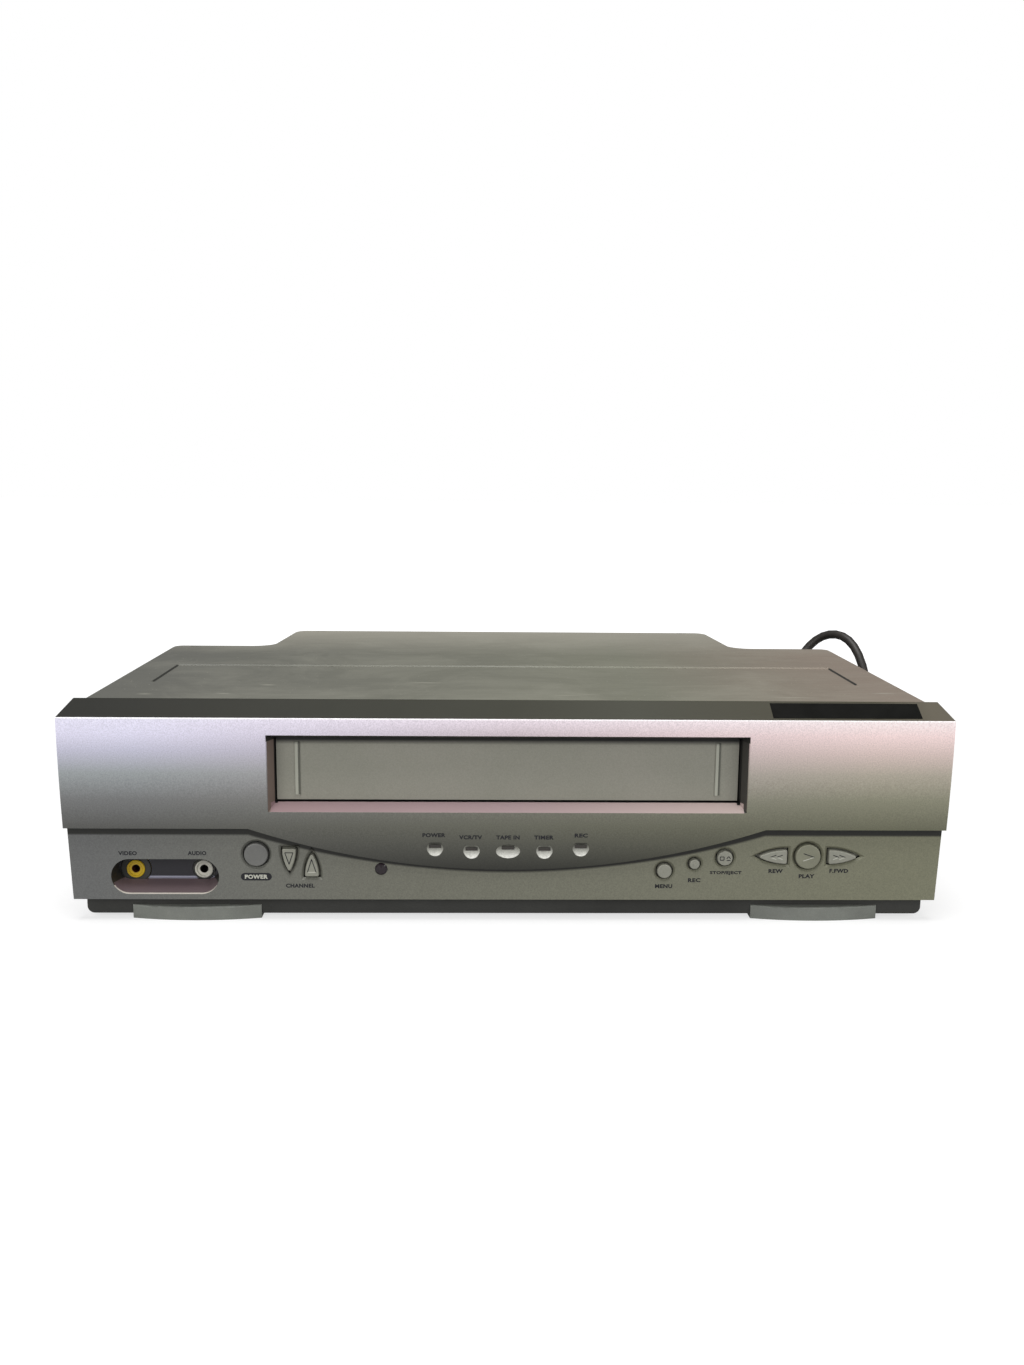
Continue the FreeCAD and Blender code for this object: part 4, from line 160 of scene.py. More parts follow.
def coated(tree: Tree, ground: Socket | str, *coats: tuple) -> Socket:
    """A colour under coats of other colours, each of which hides what is below it where its share is one.

    Args:
        tree: The material's tree.
        ground: The colour at the bottom, a socket or a hex code.
        coats: Pairs of a share and a colour, from the bottom up.

    Returns:
        The colour's socket.
    """
    for share, colour in coats:
        ground = add_node(tree, "Mix", {0: share, 6: ground, 7: colour}, data_type="RGBA")[2]
    return ground


def box_mask(tree: Tree, where: Socket, low: Place, high: Place) -> Socket:
    """One inside a box and nothing outside.

    A point is inside where its distance from the middle along each axis, over the box's half size along
    it, stays under one.

    Args:
        tree: The material's tree.
        where: Object coordinates.
        low: The box's lowest corner in millimetres, y behind the front plane.
        high: Its highest corner.

    Returns:
        The mask's socket.
    """
    corners = np.array([spot(*low), spot(*high)])
    middle, half = corners.mean(axis=0), (corners[1] - corners[0]) / 2
    away = add_node(tree, "VectorMath", {0: where, 1: middle}, operation="SUBTRACT")[0]
    away = add_node(tree, "VectorMath", {0: away}, operation="ABSOLUTE")[0]
    away = add_node(tree, "VectorMath", {0: away, 1: half}, operation="DIVIDE")[0]
    along_x, along_y, along_z = add_node(tree, "SeparateXYZ", {0: away})
    largest = add_node(tree, "Math", {0: along_x, 1: along_y}, operation="MAXIMUM")[0]
    largest = add_node(tree, "Math", {0: largest, 1: along_z}, operation="MAXIMUM")[0]
    return add_node(tree, "Math", {0: largest, 1: 1.0}, operation="LESS_THAN")[0]


def placed(name: str, data: bpy.types.ID) -> bpy.types.Object:
    """Makes an object of a mesh, curve, lamp or camera and puts it in the scene.

    Args:
        name: The object's name.
        data: What it shows.

    Returns:
        The object.
    """
    thing = bpy.data.objects.new(name, data)
    bpy.context.scene.collection.objects.link(thing)
    return thing


def finished_piece(name: str, vertices: np.ndarray, faces: list, body: str = CASE) -> bpy.types.Object:
    """Makes a closed piece from points and faces, and lets it ride on a body.

    The sum of a . (b x c) over the triangles with corners a, b and c is six times the volume. Where it
    comes out negative the faces point inwards, and all of them are turned.

    Args:
        name: The piece's name.
        vertices: Points in metres, one row each.
        faces: Vertex numbers of each face.
        body: The body that carries the piece.

    Returns:
        The piece.
    """
    mesh = bpy.data.meshes.new(name)
    mesh.from_pydata(vertices.tolist(), [], faces)
    mesh.update()
    mesh.calc_loop_triangles()
    corners = np.array([vertex.co for vertex in mesh.vertices])
    triangles = np.array([triangle.vertices for triangle in mesh.loop_triangles])
    a, b, c = (corners[triangles[:, i]] for i in range(3))
    if np.einsum("ij,ij->i", a, np.cross(b, c)).sum() < 0:
        mesh.flip_normals()
    piece = placed(name, mesh)
    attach(piece, body)
    return piece


def ring_faces(rings: int, points: int, closed: bool) -> list[list[int]]:
    """The quads between rings of points: each joins a point, the next one, and the two in the next ring.

    Args:
        rings: Number of rings.
        points: Points in a ring, which closes on itself.
        closed: Whether the last ring joins the first.

    Returns:
        Four point numbers for each quad.
    """
    ring = np.arange(rings if closed else rings - 1)[:, None]
    point = np.arange(points)[None, :]
    next_ring, next_point = (ring + 1) % rings, (point + 1) % points
    quads = np.stack([ring * points + point, ring * points + next_point,
                      next_ring * points + next_point, next_ring * points + point], axis=-1)
    return quads.reshape(-1, 4).tolist()


def lathe(profile: np.ndarray, centre: Place, steps: int = 48) -> tuple[np.ndarray, list]:
    """A closed profile turned about a line through a point, parallel to Y.

    A point at distance r and reach h goes to (x + r cos a, y + h, z + r sin a) for every angle a.

    Args:
        profile: Rows of (r, h) in millimetres, in order round the section.
        centre: Millimetres: x, y behind the front plane, z.
        steps: Points round the turn.

    Returns:
        Points in metres, and quads.
    """
    angle = np.linspace(0, 2 * np.pi, steps, endpoint=False)[:, None]
    radius, reach = profile[:, 0][None, :], profile[:, 1][None, :]
    points = np.stack([centre[0] + radius * np.cos(angle), FRONT + centre[1] + reach + 0 * angle,
                       centre[2] + radius * np.sin(angle)], axis=-1)
    return points.reshape(-1, 3) * MM, ring_faces(steps, len(profile), True)


def flat_plate(outline: np.ndarray, y: float, depth: float) -> tuple[np.ndarray, list]:
    """A flat shape with a thickness: its outline in x and z at two depths, two faces and a wall.

    Args:
        outline: Rows of (x, z) in millimetres, in order.
        y: Depth of its front, in millimetres behind the front plane.
        depth: Its thickness in millimetres.

    Returns:
        Points in metres, and faces.
    """
    count = len(outline)
    layers = [np.column_stack([outline[:, 0], np.full(count, FRONT + y + shift), outline[:, 1]])
              for shift in (0.0, depth)]
    front, back = list(range(count)), list(range(2 * count - 1, count - 1, -1))
    return np.vstack(layers) * MM, [front, back] + ring_faces(2, count, False)


# Finishes


@dataclass(frozen=True)
class Palette:
    """What a finish is mixed from: its tree, object coordinates, and the strengths of patches and grain."""

    tree: Tree
    where: Socket
    patches: Socket
    grain: Socket


@dataclass(frozen=True)
class Finish:
    """A surface: base colour and darker patches, gloss, and the grain left by how it was made.

    Sizes are the real ones in millimetres. Patches are soft stains and shading, grain is the surface's own
    relief, and stretch draws both out along an axis, as brushing and rolling do. A range says between which
    strengths of a noise something changes, and a swing how far it changes, as a share of its middle.
    """

    name: str
    colour: str
    shade: str
    roughness: float
    metallic: float = 0.0
    patch_mm: float = 30.0
    grain_mm: float = 0.5
    grain_depth_mm: float = 0.01
    stretch: Place = (1.0, 1.0, 1.0)
    coat: float = 0.0
    sheen: float = 0.5
    noise_range: Pair = (0.3, 0.7)
    patch_range: Pair = (0.35, 0.75)
    gloss_swing: float = 0.12
    grain_swing: float = 0.06
    relief: float = 0.6

    def build(self) -> bpy.types.Material:
        """Makes the material's node tree.

        Returns:
            The material.
        """
        material = bpy.data.materials.new(self.name)
        tree = bare_tree(material)
        where = add_node(tree, "TexCoord")["Object"]
        drawn = add_node(tree, "Mapping", {"Vector": where, "Scale": self.stretch})[0]
        patches = add_node(tree, "TexNoise", {"Vector": drawn, "Scale": 1 / (self.patch_mm * MM),
                                              "Detail": 5.0, "Roughness": 0.6})[0]
        grain = add_node(tree, "TexNoise", {"Vector": drawn, "Scale": 1 / (self.grain_mm * MM),
                                            "Detail": 2.0})[0]
        palette = Palette(tree, where, patches, grain)
        low, high = self.noise_range
        gloss = add_node(tree, "MapRange", {0: patches, 1: low, 2: high,
                                            3: self.roughness * (1 - self.gloss_swing),
                                            4: self.roughness * (1 + self.gloss_swing)})[0]
        bumps = add_node(tree, "Bump", {"Height": grain, "Distance": self.grain_depth_mm * MM,
                                        "Strength": self.relief})[0]
        surface = add_node(tree, "BsdfPrincipled",
                           {"Base Color": self.colour_of(palette), "Metallic": self.metallic,
                            "Roughness": gloss, "Coat Weight": self.coat, "Normal": bumps,
                            "Specular IOR Level": self.sheen_of(palette)})
        add_node(tree, "OutputMaterial", {"Surface": surface[0]})
        return material

    def sheen_of(self, palette: Palette) -> float | Socket:
        """The strength of the surface's mirror reflection, the same all over unless a finish differs."""
        return self.sheen

    def colour_of(self, palette: Palette) -> Socket:
        """The colour: the shade comes through where the patches are strong, and the grain speckles it.

        Args:
            palette: What it is mixed from.

        Returns:
            The colour's socket.
        """
        tree, (low, high), (start, end) = palette.tree, self.noise_range, self.patch_range
        amount = add_node(tree, "MapRange", {0: palette.patches, 1: start, 2: end})[0]
        level = add_node(tree, "MapRange", {0: palette.grain, 1: low, 2: high,
                                            3: 1 - self.grain_swing, 4: 1 + self.grain_swing})[0]
        stained = coated(tree, self.colour, (amount, self.shade))
        return add_node(tree, "VectorMath", {0: stained, "Scale": level}, operation="SCALE")[0]


@dataclass(frozen=True)
class FacePaint(Finish):
    """Metallic-effect paint on the moulded front, with painted reflection and shade that run from pearly at the
    top to olive grey at the foot.

    Each tuple of stops gives the colour by height, or by the place across for the lower face, the sill and
    the bevel. The bevel above the face is masked off and left in dark plastic. The box patches paint light on
    the mouth's left wall and shade on its right wall, shadow under its top and in the gaps round the flap,
    shade in the wells round the buttons and in the jack recess, and highlights on that recess's corner and
    lip; its floor is given a brownish colour. A patch is a box's lowest and highest corner and its colour.
    The upper face is what stands before the set-back or above the split.
    """

    # Painted reflection and shade on the upper face: a pearly highlight at the top edge, darker towards the
    # foot
    left: tuple = ((24, "#3c3b38"), (41, "#5b5b58"), (53, "#7a7b7b"), (64, "#9fa4a6"), (73, "#c7c6d8"),
                   (80, "#e4e1f5"), (85.7, "#ebe8fa"), (86.2, "#fcfaff"))
    middle: tuple = ((23, "#34342f"), (27, "#42423c"), (33, "#55554d"), (42, "#6a6a5e"), (50, "#7c7b71"),
                     (80, "#cdbfc6"), (85.7, "#efe2eb"), (86.2, "#fff8fb"))
    right: tuple = ((24, "#3d3c32"), (41, "#6c6c59"), (53, "#8c8b77"), (64, "#b3ab9c"), (73, "#dcc7c1"),
                    (80, "#f8dfdd"), (85.7, "#fff0f0"), (86.2, "#fff9f9"))
    lower: tuple = ((-170, "#6a6b6a"), (-60, "#737368"), (60, "#797969"), (170, "#7d7d68"))
    sill: tuple = ((-95, "#977f81"), (0, "#a18b8d"), (95, "#bba9a4"))
    bevel: tuple = ((-170, "#2a2a27"), (0, "#37372f"), (50, "#42423a"), (150, "#464338"), (172, "#5c574c"))
    # Painted light in the dimples: a highlight on the lower slope and shade at the top
    scoop_painted_light: tuple = ((26.4, "#f0f0ea"), (29.5, "#d2d2ca"), (32.5, "#94948a"), (34.6, "#35352f"))
    # Painted light on the mouth's left wall and painted shade on its right wall
    wall_left_lit: tuple = ((-98, 0.9, 46), (-94, 17, 80), "#786960")
    wall_right_shaded: tuple = ((94, 0.9, 46), (98, 17, 80), "#3c3a36")
    # Painted shadow under the top of the mouth
    mouth_top_shadow: tuple = ((-98, 0.2, 76.8), (98, 17, 80), "#242320")
    # Painted shade in the wells round the buttons
    button_well_shade: tuple = ((-112, 5.15, 12), (150, 7.2, 38), "#151512")
    # Painted shade in the jack recess and on its back wall; its floor is given a brownish colour
    jack_recess_shade: tuple = ((-163, 4.5, 11), (-118, 13.2, 27.5), "#2b2926")
    recess_floor: tuple = ((-163, 4.9, 11), (-118, 12.9, 16.4), "#66575a")
    recess_back_shade: tuple = ((-163, 12.9, 11), (-118, 16, 27.5), "#2e2d32")
    # Painted highlights on the jack recess's corner ledge and on its lower lip
    recess_corner_highlight: tuple = ((-151, 12.3, 15.7), (-119, 13.3, 16.7), "#9a99a8")
    recess_lip_highlight: tuple = ((-163, 4.25, 11), (-118, 4.9, 15.5), "#c9c3b8")
    sill_box: tuple = ((-96.2, 0.85, 46), (96.2, 17, 51))
    # Painted shadow in the gaps round the flap
    gap_left_shadow: tuple = ((-98, 5.9, 46), (-94, 17, 80), "#0a0706")
    gap_right_shadow: tuple = ((94, 5.3, 46), (98, 17, 80), "#080807")
    gap_below_shadow: tuple = ((-98, 6.6, 46), (98, 17, 52), "#0c0a0a")
    scoop_box: tuple = ((-36, 1.2, 25.5), (36, 4.15, 35.5))
    scoop_edge: Pair = (0.1, 0.2)
    side_span: float = 150.0
    set_back: float = 3.6
    split_top: float = 40.7
    flake_range: Pair = (0.25, 0.75)
    flake_swing: float = 0.16
    bevel_line: Pair = (86.42, 86.5)
    bevel_sheen: float = 0.12
    split_height: float = 40.5
    tongue_half_width: float = 105.5
    tongue_drop: float = 17.6
    shadow: str = "#23231f"
    shadow_heights: Pair = (23.0, 40.0)
    shadow_widths: Pair = (1.7, 4.0)
    shadow_edge: Pair = (-0.7, 0.3)

    def colour_of(self, palette: Palette) -> Socket:
        """The colour: blends by height and across with painted reflection and shade, then the box patches of
        painted light and shade, the painted shadow in the gaps round the flap, and the bevel.

        Args:
            palette: What it is mixed from.

        Returns:
            The colour's socket.
        """
        tree, where = palette.tree, palette.where
        across, depth, height = add_node(tree, "SeparateXYZ", {0: where})
        side = self.side_span * MM
        leftward = add_node(tree, "MapRange", {0: across, 1: -side, 2: 0.0})[0]
        rightward = add_node(tree, "MapRange", {0: across, 1: 0.0, 2: side})[0]
        # The upper face's painted reflection and shade, by height and across
        upper = coated(tree, ramp(tree, height, self.left), (leftward, ramp(tree, height, self.middle)),
                       (rightward, ramp(tree, height, self.right)))
        proud = add_node(tree, "Math", {0: depth, 1: (FRONT + self.set_back) * MM}, operation="LESS_THAN")[0]
        tall = add_node(tree, "Math", {0: height, 1: self.split_top * MM}, operation="GREATER_THAN")[0]
        is_upper = add_node(tree, "Math", {0: proud, 1: tall}, operation="MAXIMUM")[0]
        # The lower face with painted shadow under the upper face, then the upper face and the dimples
        paint = coated(tree, ramp(tree, across, self.lower),
                       (self.under_split(tree, across, height), self.shadow), (is_upper, upper),
                       (self.in_scoop(tree, where, depth, height), ramp(tree, height, self.scoop_painted_light)))
        low, high = self.flake_range
        level = add_node(tree, "MapRange", {0: palette.grain, 1: low, 2: high,
                                            3: 1 - self.flake_swing, 4: 1 + self.flake_swing})[0]
        paint = add_node(tree, "VectorMath", {0: paint, "Scale": level}, operation="SCALE")[0]
        # Box patches that paint light, shade, shadow and highlights in the mouth, the wells and the jack recess
        patches = (self.wall_left_lit, self.wall_right_shaded, self.mouth_top_shadow, self.button_well_shade, self.jack_recess_shade,
                   self.recess_floor, self.recess_back_shade, self.recess_corner_highlight, self.recess_lip_highlight,
                   (*self.sill_box, ramp(tree, across, self.sill)), self.gap_left_shadow, self.gap_right_shadow,
                   self.gap_below_shadow)
        paint = coated(tree, paint, *((box_mask(tree, where, start, end), colour)
                                      for start, end, colour in patches))
        low, high = (level * MM for level in self.bevel_line)
        above = add_node(tree, "MapRange", {0: height, 1: low, 2: high})[0]
        return coated(tree, paint, (above, ramp(tree, across, self.bevel)))

    def under_split(self, tree: Tree, across: Socket, height: Socket) -> Socket:
        """Strength of the painted shadow just under the upper face, where it overhangs the lower one.

        The face ends in a level line and a round tongue below it. The tongue is an arc of radius
        (w^2 + d^2) / 2d for a half width w and a drop d. The shadow's width runs from one value low on the
        tongue to another at the line.

        Args:
            tree: The material's tree.
            across: X in metres.
            height: Z in metres.

        Returns:
            The strength's socket.
        """
        radius = (self.tongue_half_width ** 2 + self.tongue_drop ** 2) / (self.tongue_drop * 2)
        middle = (self.split_height - self.tongue_drop + radius) * MM
        rise = add_node(tree, "Math", {0: height, 1: middle}, operation="SUBTRACT")[0]
        flat = add_node(tree, "CombineXYZ", {0: across, 2: rise})[0]
        away = add_node(tree, "VectorMath", {0: flat}, operation="LENGTH")["Value"]
        past_tongue = add_node(tree, "Math", {0: away, 1: radius * MM}, operation="SUBTRACT")[0]
        past_line = add_node(tree, "Math", {0: self.split_height * MM, 1: height}, operation="SUBTRACT")[0]
        gap = add_node(tree, "Math", {0: past_tongue, 1: past_line}, operation="MINIMUM")[0]
        (foot, top), (narrow, wide) = self.shadow_heights, self.shadow_widths
        width = add_node(tree, "MapRange", {0: height, 1: foot * MM, 2: top * MM, 3: narrow * MM,
                                            4: wide * MM})[0]
        past = add_node(tree, "Math", {0: gap, 1: width}, operation="SUBTRACT")[0]
        start, end = self.shadow_edge
        return add_node(tree, "MapRange", {0: past, 1: start * MM, 2: end * MM, 3: 1.0, 4: 0.0})[0]

    def sheen_of(self, palette: Palette) -> float | Socket:
        """The masked bevel is dull: it shows less of a reflection than the painted face.

        Args:
            palette: What it is mixed from.

        Returns:
            The socket that varies it.
        """
        height = add_node(palette.tree, "SeparateXYZ", {0: palette.where})[2]
        low, high = (level * MM for level in self.bevel_line)
        return add_node(palette.tree, "MapRange", {0: height, 1: low, 2: high, 3: self.sheen,
                                                   4: self.bevel_sheen})[0]

    def in_scoop(self, tree: Tree, where: Socket, depth: Socket, height: Socket) -> Socket:
        """One inside the five scooped dimples, which lie deeper than the crown.

        The crown's depth at a height h is the square of its distance from the crest, over the diameter.

        Args:
            tree: The material's tree.
            where: Object coordinates.
            depth: Y in metres.
            height: Z in metres.

        Returns:
            The mask's socket.
        """
        rise = add_node(tree, "Math", {0: height, 1: CREST_HEIGHT * MM}, operation="SUBTRACT")[0]
        square = add_node(tree, "Math", {0: rise, 1: rise}, operation="MULTIPLY")[0]
        crown = add_node(tree, "Math", {0: square, 1: 2 * CROWN_RADIUS * MM}, operation="DIVIDE")[0]
        sunk = add_node(tree, "Math", {0: depth, 1: crown}, operation="SUBTRACT")[0]
        start, end = ((FRONT + edge) * MM for edge in self.scoop_edge)
        deep = add_node(tree, "MapRange", {0: sunk, 1: start, 2: end})[0]
        near = box_mask(tree, where, *self.scoop_box)
        return add_node(tree, "Math", {0: deep, 1: near}, operation="MULTIPLY")[0]


@dataclass(frozen=True)
class FlapPaint(Finish):
    """The same paint on the cassette flap, with a painted highlight on each of its two ribs and painted shade
    at each one's right edge.

    The flap's top edge is dark, because it stands in the shade of the mouth.
    """

    rib_x: float = 85.8
    rib_half: float = 0.95
    rib_shade_width: float = 0.7
    rib_low: float = 53.5
    rib_high: float = 75.5
    rib_depths: Pair = (0.0, 30.0)
    rib_highlight: str = "#a9aa9d"
    rib_shade: str = "#5c5d54"
    top_edge: Pair = (74.4, 76.4)
    top_colour: str = "#050504"

    def colour_of(self, palette: Palette) -> Socket:
        """The colour: the plain paint, then an upright strip of painted highlight and one of painted shade at
        each rib.

        Args:
            palette: What it is mixed from.

        Returns:
            The colour's socket.
        """
        tree, (front, back) = palette.tree, self.rib_depths
        paint = Finish.colour_of(self, palette)
        # Each rib gets a strip of painted highlight and, at its right edge, a strip of painted shade
        for middle in (-self.rib_x, self.rib_x):
            left, right = middle - self.rib_half, middle + self.rib_half
            for start, colour in ((left, self.rib_highlight), (right - self.rib_shade_width, self.rib_shade)):
                strip = box_mask(tree, palette.where, (start, front, self.rib_low),
                                 (right, back, self.rib_high))
                paint = coated(tree, paint, (strip, colour))
        height = add_node(tree, "SeparateXYZ", {0: palette.where})[2]
        low, high = (level * MM for level in self.top_edge)
        shaded = add_node(tree, "MapRange", {0: height, 1: low, 2: high})[0]
        return coated(tree, paint, (shaded, self.top_colour))


@dataclass(frozen=True)
class CoverPaint(Finish):
    """Satin paint on sheet steel: warmer to the right and rear, finely brushed across, and worn.

    Dust lies as a thin pale film and as specks on the level top, and a few rubbed places show where other
    things have stood. Each rub is x, y behind the front plane, half length across and half depth, in
    millimetres. A dark line is painted along the creases at the sides of the pressed panel.
    """

    grain_swing: float = 0.05
    right_colour: str = "#6c6c5e"
    right_span: Pair = (-170.0, 50.0)
    edge_colour: str = "#7c7064"
    edge_span: Pair = (60.0, 160.0)
    rear_colour: str = "#8f8c80"
    rear_span: Pair = (20.0, 110.0)
    brush_mm: float = 28.0
    brush_stretch: Place = (1.0, 14.0, 14.0)
    brush_swing: float = 0.1
    dust: str = "#a3a194"
    dust_mm: float = 60.0
    dust_range: Pair = (0.45, 0.68)
    dust_amount: float = 0.2
    speck_mm: float = 4.5
    speck_edge: Pair = (0.05, 0.09)
    pale_amount: float = 0.55
    level_range: Pair = (0.6, 1.0)
    rubs: tuple = ((-118, 22, 5, 1.2), (-103, 43, 4.5, 1.4), (-36, 53, 11, 2.2), (-150, 20, 3.5, 1.0),
                   (24, 21, 9, 0.7), (33, 24, 7, 0.5), (118, 19, 12, 0.8), (160, 30, 6, 1.2))
    rub_edge: Pair = (0.7, 1.5)
    rub_break: float = 0.9
    creases: tuple = (((-155.1, 52, 90), (-154.4, 97, 93)), ((154.4, 52, 90), (155.1, 97, 93)))
    crease_colour: str = "#24241f"

    def colour_of(self, palette: Palette) -> Socket:
        """The colour: the drifting ground, then brushing, dust, specks and rubbed places.

        Args:
            palette: What it is mixed from.

        Returns:
            The colour's socket.
        """
        tree, where, (low, high) = palette.tree, palette.where, self.noise_range
        across, depth, _ = add_node(tree, "SeparateXYZ", {0: where})
        plain = self.colour
        for axis, (start, end), colour in ((across, self.right_span, self.right_colour),
                                           (across, self.edge_span, self.edge_colour),
                                           (depth, self.rear_span, self.rear_colour)):
            share = add_node(tree, "MapRange", {0: axis, 1: start * MM, 2: end * MM})[0]
            plain = coated(tree, plain, (share, colour))
        lines = add_node(tree, "Mapping", {"Vector": where, "Scale": self.brush_stretch})[0]
        brushed = add_node(tree, "TexNoise", {"Vector": lines, "Scale": 1 / (self.brush_mm * MM),
                                              "Detail": 6.0, "Roughness": 0.7})[0]
        for noise, swing in ((brushed, self.brush_swing), (palette.grain, self.grain_swing)):
            level = add_node(tree, "MapRange", {0: noise, 1: low, 2: high, 3: 1 - swing, 4: 1 + swing})[0]
            plain = add_node(tree, "VectorMath", {0: plain, "Scale": level}, operation="SCALE")[0]
        drift = add_node(tree, "TexNoise", {"Vector": where, "Scale": 1 / (self.dust_mm * MM),
                                            "Detail": 9.0, "Roughness": 0.7, "Distortion": 0.6})[0]
        start, end = self.dust_range
        film = add_node(tree, "MapRange", {0: drift, 1: start, 2: end, 3: 0.0, 4: self.dust_amount})[0]
        cells = add_node(tree, "TexVoronoi", {"Vector": where, "Scale": 1 / (self.speck_mm * MM)})[0]
        start, end = self.speck_edge
        specks = add_node(tree, "MapRange", {0: cells, 1: start, 2: end, 3: self.pale_amount, 4: 0.0})[0]
        for mask in (specks, *(self.rub_mask(tree, where, drift, rub) for rub in self.rubs)):
            film = add_node(tree, "Math", {0: film, 1: mask}, operation="MAXIMUM")[0]
        facing = add_node(tree, "NewGeometry")["Normal"]
        upward = add_node(tree, "SeparateXYZ", {0: facing})[2]
        start, end = self.level_range
        on_top = add_node(tree, "MapRange", {0: upward, 1: start, 2: end})[0]
        amount = add_node(tree, "Math", {0: film, 1: on_top}, operation="MULTIPLY")[0]
        # A dark line painted along each crease at the sides of the pressed panel
        creases = ((box_mask(tree, where, *box), self.crease_colour) for box in self.creases)
        return coated(tree, plain, (amount, self.dust), *creases)

    def rub_mask(self, tree: Tree, where: Socket, drift: Socket, rub: tuple) -> Socket:
        """A soft flat ellipse with a broken edge.

        Its measure is the distance from the middle over the half sizes, plus a share of the noise.

        Args:
            tree: The material's tree.
            where: Object coordinates.
            drift: A slow noise that breaks the edge.
            rub: One of the rubbed places.

        Returns:
            The mask's socket.
        """
        x, y, long, short = rub
        centre, per_metre = (x * MM, (FRONT + y) * MM, 0.0), (1 / (long * MM), 1 / (short * MM), 0.0)
        away = add_node(tree, "VectorMath", {0: where, 1: centre}, operation="SUBTRACT")[0]
        away = add_node(tree, "VectorMath", {0: away, 1: per_metre}, operation="MULTIPLY")[0]
        reach = add_node(tree, "VectorMath", {0: away}, operation="LENGTH")["Value"]
        rough = add_node(tree, "Math", {0: drift, 1: self.rub_break}, operation="MULTIPLY")[0]
        reach = add_node(tree, "Math", {0: reach, 1: rough}, operation="ADD")[0]
        start, end = self.rub_edge
        return add_node(tree, "MapRange", {0: reach, 1: start, 2: end, 3: self.pale_amount, 4: 0.0})[0]


@dataclass(frozen=True)
class SocketInsert(Finish):
    """Moulded socket insert whose bore is darker, because light hardly gets in."""

    centre: Pair = (0.0, 0.0)
    bore: str = "#4a1c10"
    bore_radius: float = 1.72
    bore_edge: float = 1.04

    def colour_of(self, palette: Palette) -> Socket:
        """The colour: the bore's colour within a radius of the socket's line.

        Args:
            palette: What it is mixed from.

        Returns:
            The colour's socket.
        """
        tree, (x, z), radius = palette.tree, self.centre, self.bore_radius * MM
        away = add_node(tree, "VectorMath", {0: palette.where, 1: (x * MM, 0, z * MM)},
                        operation="SUBTRACT")[0]
        away = add_node(tree, "VectorMath", {0: away, 1: (1, 0, 1)}, operation="MULTIPLY")[0]
        reach = add_node(tree, "VectorMath", {0: away}, operation="LENGTH")["Value"]
        outside = add_node(tree, "MapRange", {0: reach, 1: radius, 2: radius * self.bore_edge})[0]
        return coated(tree, self.bore, (outside, Finish.colour_of(self, palette)))


@dataclass(frozen=True)
class Laminate(Finish):
    """Paper laminate with solder mask: pale tracks show through as fine lines on a tan ground."""

    track: str = "#8a8a4a"
    track_mm: float = 2.2
    track_edge: Pair = (0.42, 0.5)

    def colour_of(self, palette: Palette) -> Socket:
        """The colour: cell edges of a square pattern stand for the tracks.

        Args:
            palette: What it is mixed from.

        Returns:
            The colour's socket.
        """
        tree, (start, end) = palette.tree, self.track_edge
        cells = add_node(tree, "TexVoronoi", {"Vector": palette.where, "Scale": 1 / (self.track_mm * MM)},
                         distance="CHEBYCHEV")["Distance"]
        line = add_node(tree, "MapRange", {0: cells, 1: start, 2: end})[0]
        return coated(tree, Finish.colour_of(self, palette), (line, self.track))


